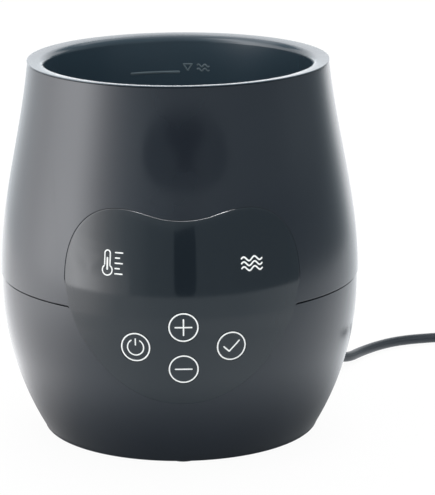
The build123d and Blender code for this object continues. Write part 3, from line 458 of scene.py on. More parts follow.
def shell_grid(settings, upper):
    """Closed grid of a shell. Columns run from the edge to the far rim, fanning out in azimuth;
    rows go over the outside, round the far rim, back inside and round the moulded edge."""
    casing = settings.casing
    crown = casing.body_radius - (0 if upper else casing.lower_step)
    border, inward, fan, gap = shell_border(settings, upper)
    soft = casing.edge_round if upper else casing.low_edge_round

    def shell_radius(z, inset=0.0):
        lowest = casing.parting_height if upper else 0.0
        return casing_radius(casing, np.maximum(z, lowest), crown, inset)

    def on_edge(offset):
        radius = shell_radius(border[:, 1])
        return border[:, 0] + inward[:, 0] * offset / radius, border[:, 1] + inward[:, 1] * offset

    def row(turn, z, inset=0.0, radius=None):
        radius = shell_radius(z, inset) if radius is None else radius + 0 * turn
        return np.stack([turn, z + 0 * turn, radius], -1)

    start_turn, start_z = on_edge(gap)
    rows = []
    rim, side, far_round, steps = ((casing.seam_height, 1, soft, 6) if upper else
                                   (casing.base_height, -1, casing.base_round, 9))
    far = rim - side * far_round
    far_radius = float(casing_radius(casing, far, crown))
    edge_turn, edge_z = on_edge(gap + soft)
    for v in np.concatenate([[0, 0.004, 0.012], np.linspace(0.03, 1, 64)]):
        rows.append(row(edge_turn + v * (fan - edge_turn), edge_z + v * (far - edge_z)))
    for a in np.linspace(0, math.pi / 2, steps)[1:]:
        rows.append(row(fan, far + side * far_round * math.sin(a),
                        radius=far_radius - far_round * (1 - math.cos(a))))
    if upper:
        rows.append(row(fan, rim, radius=casing.seam_radius - casing.wall))
        inner_far = far
    else:
        rows += [row(fan, z, radius=casing.opening_radius) for z in (rim, rim + casing.rim_height)]
        inner_far = rim + 2 * casing.rim_height
    for v in np.linspace(1, 0, 24):
        rows.append(row(start_turn + v * (fan - start_turn), start_z + v * (inner_far - start_z),
                        casing.wall))
    for a in np.linspace(0, math.pi / 2, 6)[:-1]:
        turn, z = on_edge(gap + soft * (1 - math.cos(a)))
        rows.append(row(turn, z, soft * (1 - math.sin(a))))
    half = np.array(rows)
    mirrored = half[:, -2:0:-1] * np.array([-1, 1, 1])
    whole = np.concatenate([half, mirrored], axis=1)
    points = on_casing(whole[..., 2], whole[..., 0], whole[..., 1])
    return points[::-1] if upper else points


def tongue_grid(settings, steps=160):
    """Closed grid of the tongue that closes the parting line from inside: a T of (radius, z) corners
    carried round the back from one side of the panel to the other, with a point at each end."""
    casing, clearance = settings.casing, 0.1 * MM
    start = math.asin(settings.panel.half_width / casing.body_radius) + math.radians(5)
    outer = casing.body_radius - casing.lower_step - casing.wall - clearance
    inner, tip = outer - casing.tongue_back, casing.body_radius - casing.tongue_depth
    web, rise = 0.85 * casing.parting_gap, casing.tongue_rise
    corners = np.array([(inner, -rise), (inner, rise), (outer, rise), (outer, web), (tip, web),
                        (tip, -web), (outer, -web), (outer, -rise)])
    turn = np.linspace(start, 2 * math.pi - start, steps)[:, None]
    body = on_casing(corners[:, 0] + 0 * turn, turn + 0 * corners[:, 0],
                     casing.parting_height + corners[:, 1])
    ends = [np.repeat(row.mean(0)[None, None], len(corners), 1) for row in (body[0], body[-1])]
    return np.concatenate([ends[0], body, ends[1]])


def lens_grid(settings, rings=70):
    """Closed grid of the lens: rings from a point in its middle out to the heart outline, over the
    rounded edge, and back in on the inner face."""
    panel, radius = settings.panel, settings.casing.body_radius
    half = evenly(half_outline(settings), 220, radius)
    loop = np.vstack([half, half[-2:0:-1] * np.array([-1, 1])])
    above_half = 4 * MM
    middle = np.array([0.0, (panel.dip_height + panel.low_height) / 2 + above_half])
    flat = loop * np.array([radius, 1.0])
    slope = unit(np.roll(flat, -1, 0) - np.roll(flat, 1, 0))
    inward = np.stack([slope[:, 1], -slope[:, 0]], -1)
    parting, blend = settings.casing.parting_height, 3 * MM
    soft = np.interp(loop[:, 1], [parting - blend, parting + blend], [panel.low_round, panel.top_round])

    def ring(share, offset, inset):
        edge = loop + inward * np.array([1 / radius, 1.0]) * np.reshape(offset, (-1, 1))
        at = middle + share * (edge - middle)
        return on_casing(panel_radius(settings, at[:, 1], inset), at[:, 0], at[:, 1])

    rows = [ring(s, soft, 0) for s in np.linspace(0, 1, rings)]
    for a in np.linspace(math.pi / 2, 0, 6)[1:]:
        rows.append(ring(1, soft * (1 - math.cos(a)), soft * (1 - math.sin(a))))
    rows += [ring(s, 0, panel.wall) for s in np.linspace(1, 0, 20)]
    return np.array(rows)


def key_places(settings):
    """Middle of each key as (x, z)."""
    k = settings.keys
    return {"plus": (0.0, k.plus_z), "minus": (0.0, k.minus_z),
            "power": (-k.side_x, k.side_z), "set": (k.side_x, k.side_z)}


def key_loop(settings, name, grow, share=1.0, steps=96):
    """Key outline seen along Y, round on the curved panel, as x and z."""
    x, z = key_places(settings)[name]
    radius = settings.keys.radius
    across = radius * math.cos(math.asin(x / float(panel_radius(settings, z))))
    turn = once_round(steps)
    return x + share * (across + grow) * np.cos(turn), z + share * (radius + grow) * np.sin(turn)


def key_grid(settings, name):
    """Closed grid of a key cap: rings over its face, which follows the panel, its rounded edge, the
    skirt down to its flange, and the stem."""
    low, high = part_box(f"key_{name}")
    stem_y, (x, z) = high[1], key_places(settings)[name]
    flange_radius, stem_radius = (high[0] - low[0]) / 2, settings.keys.stem_radius
    inside = float(panel_radius(settings, z - flange_radius, settings.panel.wall))
    clearance, soft = 0.3 * MM, settings.keys.edge_round
    flange_y = -math.sqrt(inside**2 - (abs(x) + flange_radius) ** 2) + clearance
    flange_back = flange_y + settings.keys.flange_wall

    def face(share, grow, inset):
        px, pz = key_loop(settings, name, grow, share)
        py = -np.sqrt(panel_radius(settings, pz, inset) ** 2 - px**2)
        return np.stack([px, py, pz], -1)

    def flat(radius, y):
        turn = once_round(96)
        return np.stack([x + radius * np.cos(turn), np.full(96, y), z + radius * np.sin(turn)], -1)

    rows = [face(s, -soft, 0) for s in np.linspace(0, 1, 16)]
    rows += [face(1, -soft * (1 - math.cos(a)), soft * (1 - math.sin(a)))
             for a in np.linspace(math.pi / 2, 0, 5)[1:]]
    skirt = face(1, 0, 0)
    skirt[:, 1] = flange_y
    rows += [skirt, flat(flange_radius, flange_y), flat(flange_radius, flange_back),
             flat(stem_radius, flange_back), flat(stem_radius, stem_y), flat(0, stem_y)]
    return np.array(rows)


# ---- Printed signs -----------------------------------------------
def stroke(path, width, closed=False):
    """Ribbon along a path, (steps, 3, 2): the path moved half the width to each side, tapered as a
    half circle at open ends."""
    path = np.array(path, float)
    if closed:
        slope = np.roll(path, -1, 0) - np.roll(path, 1, 0)
        half = np.full(len(path), width / 2)
    else:
        along = distances(path)
        total, cap = along[-1], width / 2
        bend = np.linspace(0, math.pi / 2, 7)
        ends = cap * (1 - np.cos(bend))
        keep = along[(along > ends[-1]) & (along < total - ends[-1])]
        at = np.concatenate([ends, keep, (total - ends)[::-1]])
        path = at_distances(path, along, at)
        near = np.minimum(np.minimum(at, total - at), cap)
        half = np.sqrt(np.maximum(cap**2 - (cap - near) ** 2, 1e-12))
        slope = np.gradient(path, axis=0)
    slope = unit(slope)
    aside = np.stack([-slope[:, 1], slope[:, 0]], -1) * half[:, None]
    ribbon = np.stack([path + aside, path, path - aside], 1)
    return np.concatenate([ribbon, ribbon[:1]]) if closed else ribbon


def arc(radius, start, end, steps=72, centre=(0.0, 0.0)):
    """Points on a circle from one angle to another, in degrees from +X."""
    a = np.radians(np.linspace(start, end, steps, endpoint=abs(end - start) < 360))
    return np.stack([centre[0] + radius * np.cos(a), centre[1] + radius * np.sin(a)], -1)


def line(*points, steps=14):
    """Straight runs between points, divided evenly."""
    runs = [np.linspace(a, b, steps) for a, b in zip(points, points[1:])]
    return np.concatenate([runs[0]] + [r[1:] for r in runs[1:]])


def wave(start, end, steps, height, swing, period):
    """Sine wave at a height from one end to the other, all in millimetres."""
    x = np.linspace(start, end, steps)
    return np.stack([x, height + swing * np.sin((x - start) * 2 * math.pi / period)], -1) * MM


def on_panel(settings, centre):
    """Function that lays (across, up) around a centre (x, z) on the panel's face, ink proud."""
    middle_turn = math.asin(centre[0] / float(panel_radius(settings, centre[1])))

    def place(flat):
        z = centre[1] + flat[..., 1]
        radius = panel_radius(settings, z, -settings.keys.ink)
        return on_casing(radius, middle_turn + flat[..., 0] / radius, z)

    return place


def print_sign(name, body, ribbons, place, material):
    """Inked sign: ribbons laid on a surface, each with the thickness of the ink film."""
    piece = grid_object(name, [place(ribbon) for ribbon in ribbons], ends="open")
    film = piece.modifiers.new("film", "SOLIDIFY")
    film.thickness = 0.018 * MM
    film.offset = -1
    dress(piece, body, material)


# ---- Finishes ----------------------------------------------------
def linear(code):
    """sRGB hex code to a linear colour with full alpha."""
    parts = [int(code[i:i + 2], 16) / 255 for i in (1, 3, 5)]
    return tuple(c / 12.92 if c <= 0.04045 else ((c + 0.055) / 1.055) ** 2.4 for c in parts) + (1.0,)


def add_node(tree, kind, links=None, **settings):
    """Adds a node, sets its attributes and input values, and links (node, output) to inputs."""
    node = tree.nodes.new(kind)
    for key, value in settings.items():
        if hasattr(node, key):
            setattr(node, key, value)
        else:
            node.inputs[key.replace("_", " ")].default_value = value
    for socket, (source, output) in (links or {}).items():
        tree.links.new(source.outputs[output], node.inputs[socket])
    return node


def new_material(name):
    """Empty node material with its output node."""
    material = bpy.data.materials.new(name)
    material.use_nodes = True
    material.node_tree.nodes.clear()
    return material, material.node_tree, material.node_tree.nodes.new("ShaderNodeOutputMaterial")


def moulded(name, code, roughness, grain_mm, grain_depth, spread=0.06, ior=1.5, metallic=0.0):
    """Moulded or cast surface: a base colour that drifts slightly over centimetres, roughness that
    drifts with it, and a fine grain as bump at its real spacing."""
    material, tree, output = new_material(name)
    place = add_node(tree, "ShaderNodeTexCoord")
    drift = add_node(tree, "ShaderNodeTexNoise", {"Vector": (place, "Object")}, Scale=28.0, Detail=3.0)
    base = np.array(linear(code))
    ramp = add_node(tree, "ShaderNodeValToRGB", {"Fac": (drift, "Fac")})
    ramp.color_ramp.elements[0].color = tuple(np.append(base[:3] * (1 - spread), 1))
    ramp.color_ramp.elements[1].color = tuple(np.append(base[:3] * (1 + spread), 1))
    rough = add_node(tree, "ShaderNodeMapRange", {"Value": (drift, "Fac")},
                     To_Min=roughness * 0.94, To_Max=roughness * 1.06)
    grain = add_node(tree, "ShaderNodeTexNoise", {"Vector": (place, "Object")},
                     Scale=1 / (grain_mm * MM), Detail=2.0)
    bump = add_node(tree, "ShaderNodeBump", {"Height": (grain, "Fac")},
                    Strength=0.35, Distance=grain_depth * MM)
    shader = add_node(tree, "ShaderNodeBsdfPrincipled",
                      {"Base Color": (ramp, "Color"), "Roughness": (rough, "Result"),
                       "Normal": (bump, "Normal")}, Metallic=metallic, IOR=ior)
    tree.links.new(shader.outputs["BSDF"], output.inputs["Surface"])
    return material


# Colour (a property's name or a code), roughness, grain spacing and depth in mm, and what differs
FINISHES = {
    # injection-moulded ABS from a spark-eroded tool: even sheen, blurred reflections
    "casing_abs": ("casing", 0.23, 0.45, 0.0015, {}),
    # smoked acrylic from a polished tool: sharp reflections over a near-black body
    "smoked_acrylic": ("lens", 0.075, 3.0, 0.0005, {"spread": 0.02, "ior": 1.49}),
    # moulded polypropylene: waxy, with a long soft gleam on its lip
    "tank_polypropylene": ("tank", 0.2, 0.6, 0.002, {"ior": 1.49}),
    # screen-print inks, white and grey: matt, slightly uneven film
    "white_ink": ("ink", 0.55, 0.2, 0.004, {"spread": 0.03}),
    "level_ink": ("mark", 0.5, 0.2, 0.004, {"spread": 0.04}),
    # plasticised PVC jacket: soft sheen with fine drawing marks
    "cord_pvc": ("cord", 0.45, 0.3, 0.01, {"ior": 1.42}),
    # moulded rubber: dull and slightly rough
    "foot_rubber": ("foot", 0.75, 0.35, 0.03, {}),
    # rolled stainless sheet: bright, blurred by fine rolling marks
    "stainless": ("steel", 0.3, 0.25, 0.012, {"metallic": 1.0}),
    # zinc-plated steel: greyer and duller than the stainless
    "zinc_steel": ("#A9ABA8", 0.38, 0.2, 0.01, {"metallic": 1.0}),
    # die-cast aluminium: pale, dull and grainy
    "cast_aluminium": ("#B9BCBE", 0.5, 0.4, 0.03, {"metallic": 1.0}),
    # nickel-plated brass: the smoothest of the metals, faintly warm
    "plated_brass": ("#C9C6BC", 0.25, 0.25, 0.006, {"metallic": 1.0}),
    # moulded silicone: brick red, matt
    "silicone_red": ("#9C4A3A", 0.6, 0.4, 0.02, {}),
    # moulded nylon, black and white: soft-edged highlights
    "black_nylon": ("#1C1E20", 0.5, 0.3, 0.02, {}),
    "white_nylon": ("#D9D6CC", 0.45, 0.3, 0.02, {}),
    # lacquered glass-epoxy board: green, mottled more than the mouldings
    "board_green": ("#1E5B3C", 0.35, 0.8, 0.02, {"spread": 0.15}),
    # polyester tape: dull yellow film
    "tape_yellow": ("#C9A63C", 0.5, 0.5, 0.03, {}),
    # display window: black and glossy
    "display_black": ("#101214", 0.12, 0.5, 0.004, {}),
    # wire insulation: plain grey with a low sheen
    "wire_grey": ("#8B9094", 0.5, 0.3, 0.02, {}),
    # glass of a fuse, drawn solid: pale, the glossiest of all
    "fuse_glass": ("#C8D4D2", 0.06, 1.0, 0.001, {}),
}


def finish(name):
    """Finds one of the object's materials, or makes it the first time."""
    made = bpy.data.materials.get(name)
    if made:
        return made
    code, roughness, grain_mm, grain_depth, more = FINISHES[name]
    code = getattr(bpy.context.scene.warmer.finish, code, code)
    return moulded(name, code, roughness, grain_mm, grain_depth, **more)


SLOT_FINISH = {
    "shell": "casing_abs", "tank": "tank_polypropylene", "lens": "smoked_acrylic",
    "key": "smoked_acrylic", "frame_black": "black_nylon", "circuit_board": "board_green",
    "display": "display_black", "component_black": "black_nylon", "component_white": "white_nylon",
    "component_yellow": "tape_yellow", "fuse_glass": "fuse_glass", "stainless": "stainless",
    "zinc_steel": "zinc_steel", "aluminium": "cast_aluminium", "silicone": "silicone_red",
    "rubber": "foot_rubber", "cord_jacket": "cord_pvc", "plug": "cord_pvc", "brass": "plated_brass",
    "wire": "wire_grey",
}


def dress(piece, body, material, replaces=()):
    """Gives a piece its finish, the body it rides on and the nodes it stands for."""
    piece.data.materials.clear()
    piece.data.materials.append(finish(material))
    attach(piece, body)
    if replaces:
        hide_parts(*replaces)
    return piece


def mould(name, grids, material, slot=None, replaces=(), body=MACHINE, **more):
    """Makes a piece from its grids and dresses it."""
    return dress(grid_object(name, grids, **more), body, material, replaces)


# ---- Operators ---------------------------------------------------
class WarmerOperator:
    """Shared parts of the operators that make pieces."""
    bl_options = {"REGISTER", "UNDO"}

    def execute(self, context):
        self.make(context.scene.warmer)
        return {"FINISHED"}


class WARMER_OT_nodes(WarmerOperator, bpy.types.Operator):
    """Give every carried-over node the finish of its slot"""
    bl_idname = "warmer.nodes"
    bl_label = "Finish the frame's nodes"

    def make(self, settings):
        slots = {s["node"]: s["material_slot"] for s in frame["record"]["subparts"]}
        for name, node in frame["nodes"].items():
            node.data.materials.clear()
            node.data.materials.append(finish(SLOT_FINISH[slots[name]]))


class WARMER_OT_casing(WarmerOperator, bpy.types.Operator):
    """Mould the two shells, the tongue behind their parting line and the boss that the cord leaves"""
    bl_idname = "warmer.casing"
    bl_label = "Casing"

    def make(self, settings):
        for half, upper in (("upper", True), ("lower", False)):
            mould(f"casing_{half}", [shell_grid(settings, upper)], "casing_abs", "shell", [f"{half}_shell"],
                  ends="joined")
        mould("parting_tongue", [tongue_grid(settings)], "casing_abs", "shell")
        cord = settings.cord
        face = rounded([(0.0, cord.boss_start, 0), (cord.boss_radius, cord.boss_start, 0),
                        (cord.boss_radius, cord.boss_end, 0.4 * MM), (0.0, cord.boss_end, 0)])
        mould("gland_boss", [leaning(lathe(face, 96), cord)], "casing_abs", "shell")


class WARMER_OT_tank(WarmerOperator, bpy.types.Operator):
    """Mould the tank with its rolled lip and its level mark"""
    bl_idname = "warmer.tank"
    bl_label = "Tank"

    def make(self, settings):
        tank, floor_round, rim_round = settings.tank, 1.5 * MM, 2.8 * MM
        inside = [(tank.floor_radius, tank.floor_height, floor_round),
                  (tank.rim_radius, tank.rim_height, rim_round)]
        lip = mm((62.65, 157.24, 0.22), (62.65, 156.81, 0.1), (59.5, 156.8, 0), (59.5, 153.6, 0.3),
                 (58.4, 153.6, 0.3), (58.4, 156.0, 0), (57.45, 155.0, 0))
        outside = mm((54.0, 42.0, 0), (38.0, 42.0, 0), (38.0, 44.5, 0))
        mould("tank_moulding", [lathe(rounded(inside + lip + outside), 256)], "tank_polypropylene",
              "tank", ["tank_liner"], ends="joined")

        def on_wall(flat):
            z = tank.mark_height + flat[..., 1]
            radius = tank.floor_radius + tank.mark_lean * (z - tank.floor_height) - tank.mark_rise
            turn = flat[..., 0] / radius
            return np.stack([radius * np.sin(turn), radius * np.cos(turn), z], -1)

        level, triangle = mm((1.6, 0), (-20.4, 0)), mm((5.0, 0.5), (3.1, 3.5), (6.9, 3.5), (5.0, 0.5))
        mark = [stroke(line(*level, steps=40), 1.2 * MM), stroke(line(*triangle), 0.75 * MM)]
        mark += [stroke(wave(9.0, 14.6, 60, height, 0.5, 2.8), 0.75 * MM) for height in (1.1, 2.9)]
        print_sign("level_mark", MACHINE, mark, on_wall, "level_ink")


class WARMER_OT_panel(WarmerOperator, bpy.types.Operator):
    """Mould the heart-shaped lens and cut its key holes"""
    bl_idname = "warmer.panel"
    bl_label = "Panel"

    def make(self, settings):
        lens = grid_object("panel_lens_face", [lens_grid(settings)])
        cutters, back, front = [], -50 * MM, -90 * MM
        for name in KEY_NAMES:
            x, z = key_loop(settings, name, settings.keys.gap)
            rows = [np.stack([x, np.full_like(x, y), z], -1) for y in (back, back, front, front)]
            for row in (rows[0], rows[-1]):
                row[:] = row.mean(axis=0)
            cutters.append(grid_object(f"cut_{name}", [np.array(rows)]))
        for cutter in cutters:
            cut = lens.modifiers.new(cutter.name, "BOOLEAN")
            cut.operation, cut.solver, cut.object = "DIFFERENCE", "EXACT", cutter
        graph = bpy.context.evaluated_depsgraph_get()
        cut_mesh = bpy.data.meshes.new_from_object(lens.evaluated_get(graph))
        lens.modifiers.clear()
        lens.data = cut_mesh
        lens.data.set_sharp_from_angle(angle=math.radians(35))
        for cutter in cutters:
            bpy.data.objects.remove(cutter)
        dress(lens, MACHINE, "smoked_acrylic", ["panel_lens"])
        # The strip lights the lens alone, so that the casing above it stays dark
        lens_only = bpy.data.collections.new("lens_only")
        lens_only.objects.link(lens)
        bpy.data.objects["tent_strip"].light_linking.receiver_collection = lens_only


class WARMER_OT_keys(WarmerOperator, bpy.types.Operator):
    """Mould the four keys and print their rings and signs"""
    bl_idname = "warmer.keys"
    bl_label = "Keys"

    def make(self, settings):
        keys = settings.keys
        width, thin = keys.stroke, 0.92 * keys.stroke
        ring = stroke(arc(keys.ring_radius - width / 2, 0, 360, 120), width, closed=True)
        arm = 3.55 * MM
        signs = {
            "plus": [stroke(line((-arm, 0), (arm, 0)), width), stroke(line((0, -arm), (0, arm)), width)],
            "minus": [stroke(line((-arm, 0), (arm, 0)), width)],
            "power": [stroke(arc(3.3 * MM, 118, 422), thin), stroke(line(*mm((0, 0.7), (0, 3.75))), thin)],
            "set": [stroke(line(*mm((-3.3, 0.1), (-0.9, -2.2), (3.4, 2.3))), width)],
        }
        for name, place in key_places(settings).items():
            body = f"{name}_key"
            mould(f"{name}_cap", [key_grid(settings, name)], "smoked_acrylic", "key", [f"key_{name}"], body)
            print_sign(f"{name}_print", body, [ring] + signs[name], on_panel(settings, place), "white_ink")


class WARMER_OT_signs(WarmerOperator, bpy.types.Operator):
    """Print a thermometer and a water sign on the lens"""
    bl_idname = "warmer.signs"
    bl_label = "Signs"

    def make(self, settings):
        thin = 0.66 * MM
        x, stem, bulb, bulb_z = -2.2, 1.15, 2.1, -2.9
        open_angle = math.degrees(math.asin(stem / bulb))
        outline = np.concatenate([
            arc(bulb * MM, 90 + open_angle - 360, 90 - open_angle, 48, (x * MM, bulb_z * MM)),
            line(*mm((x + stem, -1.0), (x + stem, 3.6)))[1:],
            arc(stem * MM, 0, 180, 20, (x * MM, 3.8 * MM)),
            line(*mm((x - stem, 3.6), (x - stem, -1.0)))[1:],
        ])
        ribbons = [stroke(outline, thin * 0.8), stroke(line(*mm((x, bulb_z), (x, 2.2))), thin * 1.1)]
        ribbons += [stroke(line(*mm((0.9, z), (end, z))), thin * 0.85)
                    for z, end in ((4.2, 4.4), (2.1, 3.2), (0.0, 4.4), (-2.1, 3.2), (-4.2, 4.4))]
        print_sign("heat_sign", MACHINE, ribbons, on_panel(settings, *mm((-27.7, 87.8))), "white_ink")
        waves = [stroke(wave(-4.6, 4.6, 90, height, 0.8, 4.6), thin) for height in (-1.7, 0.25, 2.2)]
        print_sign("water_sign", MACHINE, waves, on_panel(settings, *mm((27.4, 86.8))), "white_ink")


class WARMER_OT_base(WarmerOperator, bpy.types.Operator):
    """Mould the four rubber feet"""
    bl_idname = "warmer.base"
    bl_label = "Base"

    def make(self, settings):
        low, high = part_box("feet")
        radius = 6.2 * MM
        ring = (high[0] - low[0]) / 2 - radius
        outline = rounded([(0.0, 0.0, 0), (radius, 0.0, 0.5 * MM), (radius, high[2], 0), (0.0, high[2], 0)])
        pads = [lathe(outline, 64, (ring * math.cos(a), ring * math.sin(a)))
                for a in np.arange(4) * math.pi / 2]
        mould("foot_pads", pads, "foot_rubber", "rubber", ["feet"])


class WARMER_OT_cord(WarmerOperator, bpy.types.Operator):
    """Lay the cord: out of the relief, along the table and into its coil"""
    bl_idname = "warmer.cord"
    bl_label = "Cord"

    def make(self, settings):
        cord = settings.cord
        points = self.route(cord)
        curve = bpy.data.curves.new("mains_cord", "CURVE")
        curve.dimensions = "3D"
        spline = curve.splines.new("NURBS")
        spline.points.add(len(points) - 1)
        weighted = np.column_stack([points, np.ones(len(points))])
        spline.points.foreach_set("co", weighted.astype(np.float32).ravel())
        spline.order_u = 3
        spline.use_endpoint_u = True
        curve.bevel_depth = cord.radius
        curve.bevel_resolution = 5
        curve.resolution_u = 5
        piece = new_object("mains_cord", curve)
        dress(piece, MACHINE, "cord_pvc", ["power_cord", "cord_coil"])
        mould("relief_sleeve", [self.relief(cord)], "cord_pvc", "cord_jacket", ["strain_relief"])
        plug = mould("plug_moulding", [self.plug()], "cord_pvc", "plug", ["plug_body"],
                     smooth_angle=math.radians(40))

    def route(self, cord):
        """Points that the cord's middle follows: straight out of the relief, down to the table, round
        to the coil's far side, in along the lower layer, up, out along the upper one and straight."""
        lift = cord.radius + cord.lift
        # Rounded, because a property holds single precision
        height = round(cord.exit_height, 6)
        tip, inside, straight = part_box("strain_relief")[1], 3.1 * MM, 9 * MM
        start = (tip[0] + tip[1]) / 2 - inside * math.sqrt(0.5)
        on = start + straight * math.sqrt(0.5)
        down = mm((72.3, 71.8, 5.5), (78.4, 79.0, 2.9))
        low = [(x, y, lift) for x, y in mm((84.2, 89.3), (93.9, 99.7), (104.8, 107.1), (119.0, 110.7))]
        outer = cord.coil_y + cord.coil_outer
        lead = [(130.5 * MM, outer, lift), (cord.coil_x - cord.coil_lead, outer, lift)]
        first_turn = 2 * math.pi * cord.turns_in
        climbed = first_turn + 2 * math.pi * cord.turns_up
        total = climbed + 2 * math.pi * cord.turns_out
        turn = np.linspace(0, total, int(cord.steps * total / (2 * math.pi)) + 1)
        radius = np.interp(turn, [0, first_turn, climbed, total],
                           [cord.coil_outer, cord.coil_inner, cord.coil_inner, cord.coil_outer])
        # The spline runs inside its points by this share
        radius /= 1 - (math.pi / cord.steps) ** 2 / 4
        rise = (1 - np.cos(np.clip((turn - first_turn) / (climbed - first_turn), 0, 1) * math.pi)) / 2
        layer = 2.01 * cord.radius
        coil = np.stack([cord.coil_x + radius * np.sin(turn), cord.coil_y + radius * np.cos(turn),
                         lift + rise * layer], -1)
        tail = [(cord.coil_x + cord.coil_outer, cord.coil_y - cord.coil_lead * share, coil[-1, 2])
                for share in (0.5, 1.0)]
        ahead = [(start, start, height), (on, on, height)]
        return np.vstack([ahead + down + low + lead, coil, tail])

    def relief(self, cord):
        """Strain relief: a collar inside the wall, a neck, a flange and a ribbed, tapering sleeve."""
        inner, face, end = 55.47, cord.boss_end / MM + 0.1, cord.relief_end / MM
        sleeve, tip = face + 3.2, end - 2.2
        outline = rounded(mm(
            (0, inner, 0), (3.6, inner, 0.2), (3.6, inner + 1.6, 0.2), (3.0, inner + 1.6, 0),
            (3.0, face, 0), (4.3, face, 0.3), (4.25, face + 2.0, 0.5), (3.2, face + 2.0, 0.18),
            (3.2, sleeve, 0.18), *ribbed(sleeve, tip, 3.95, 3.25, 6, 0.6)[:-1],
            (2.6, tip, 0.1), (3.1, tip, 0.1), (2.95, end, 0.5), (0, end, 0)), arc_steps=4)
        return leaning(lathe(outline, 72), cord)

    def plug(self):
        """Plug moulding in millimetres along its length, as (distance from the back, half width, half
        height, corner power): a ribbed neck, a shoulder, a body waisted for the fingers and a flat
        face. Each ring is the superellipse |x/w|^n + |z/h|^n = 1."""
        low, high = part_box("plug_body")
        middle = [(low[0] + high[0]) / 2, (low[2] + high[2]) / 2]
        sections = [(0, 0, 0, 2), (0, 2.7, 2.7, 2), (0.4, 3.1, 3.1, 2), (1.8, 3.1, 3.1, 2)]
        for i in range(4):
            for step, size in ((0.1, 2.55), (0.8, 2.55), (0.9, 3.15), (2.2, 3.15 + 0.1 * i)):
                sections.append((1.8 + 2.3 * i + step, size, size, 2))
        sections += [
            (11.1, 3.4, 3.4, 2), (11.8, 3.6, 3.5, 2), (12.15, 7.5, 4.9, 2.6), (12.8, 9.0, 5.8, 3.2),
            (14.0, 10.1, 6.3, 3.8), (15.6, 10.75, 6.6, 4.5), (17.4, 10.6, 6.65, 5), (19.4, 10.1, 6.65, 5),
            (21.6, 9.75, 6.65, 5), (24.0, 9.8, 6.65, 5), (26.4, 10.3, 6.65, 5), (28.2, 10.85, 6.75, 5.5),
            (29.2, 11.0, 6.8, 6), (32.2, 11.0, 6.8, 6), (32.75, 10.9, 6.7, 6), (33.0, 10.6, 6.4, 6),
            (33.0, 0, 0, 6)]
        rows = []
        for back, width, height, power in sections:
            across, up = superellipse(once_round(96), 2 / power)
            y = np.full(96, max(high[1] - back * MM, low[1]))
            rows.append(np.stack([middle[0] + width * MM * across, y, middle[1] + height * MM * up], -1))
        return np.array(rows)


# Brightness of the light tent by direction, in degrees from -Y toward +X: its wall, its floor near
# the body and far from it, and the strip that shows in the lens
WALL_LIGHT = ((-180, 1.3), (-125, 1.65), (-105, 2.7), (-85, 5.0), (-75, 5.7), (-70, 6.1), (-60, 4.4),
              (-52, 2.6), (-44, 1.6), (-34, 0.95), (-18, 0.48), (0, 0.36), (66, 0.34), (80, 0.38),
              (105, 0.38), (118, 0.5), (130, 1.0), (141, 1.8), (152, 1.75), (180, 1.3))
NEAR_LIGHT = ((-180, 1.8), (-103, 2.1), (-88, 2.1), (-70, 2.1), (-60, 1.85), (-52, 1.6), (-44, 1.5),
              (-35, 1.35), (-15, 1.1), (0, 1.06), (45, 1.25), (90, 1.6), (130, 1.7), (180, 1.8))
FAR_LIGHT = ((-180, 1.8), (-125, 1.95), (-107, 2.6), (-88, 3.35), (-74, 3.35), (-63, 2.8), (-55, 2.4),
             (-46, 1.75), (-37, 1.25), (-15, 0.92), (0, 0.84), (34, 0.87), (52, 1.05), (72, 1.27),
             (94, 1.35), (117, 1.4), (180, 1.8))
STRIP_LIGHT = ((-180, 6.0), (-38, 6.0), (-25, 8.0), (-19, 26.0), (-12, 24.0), (-6, 18.0), (0, 15.0),
               (4, 24.0), (9, 48.0), (14, 75.0), (19, 32.0), (25, 9.0), (180, 9.0))
DIM_TINT, FULL_TINT = np.array([0.8, 1.0, 1.11]), np.array([1.0, 1.0, 1.02])


def even(level):
    """The same brightness in every direction."""
    return ((-180, level), (180, level))


def card(radius, middle, half_turn, low, high, power):
    """Rounded card on a cylinder: a superellipse in direction, in degrees, and height."""
    across, up = superellipse(np.linspace(0, 2 * math.pi, 73)[None, :], power)
    size = np.array([0.0, 1.0])[:, None]
    turn = np.radians(middle + half_turn * size * across)
    return on_casing(radius + 0 * turn, turn, (low + high) / 2 + (high - low) / 2 * size * up)


def band(start, end, steps, radii, heights):
    """Sheet between two arcs, each of its radius and height, from one direction to another."""
    turn = np.radians(np.linspace(start, end, steps))[None, :]
    radius, z = np.array(radii)[:, None], np.array(heights)[:, None]
    return on_casing(radius + 0 * turn, turn + 0 * radius, z + 0 * turn)


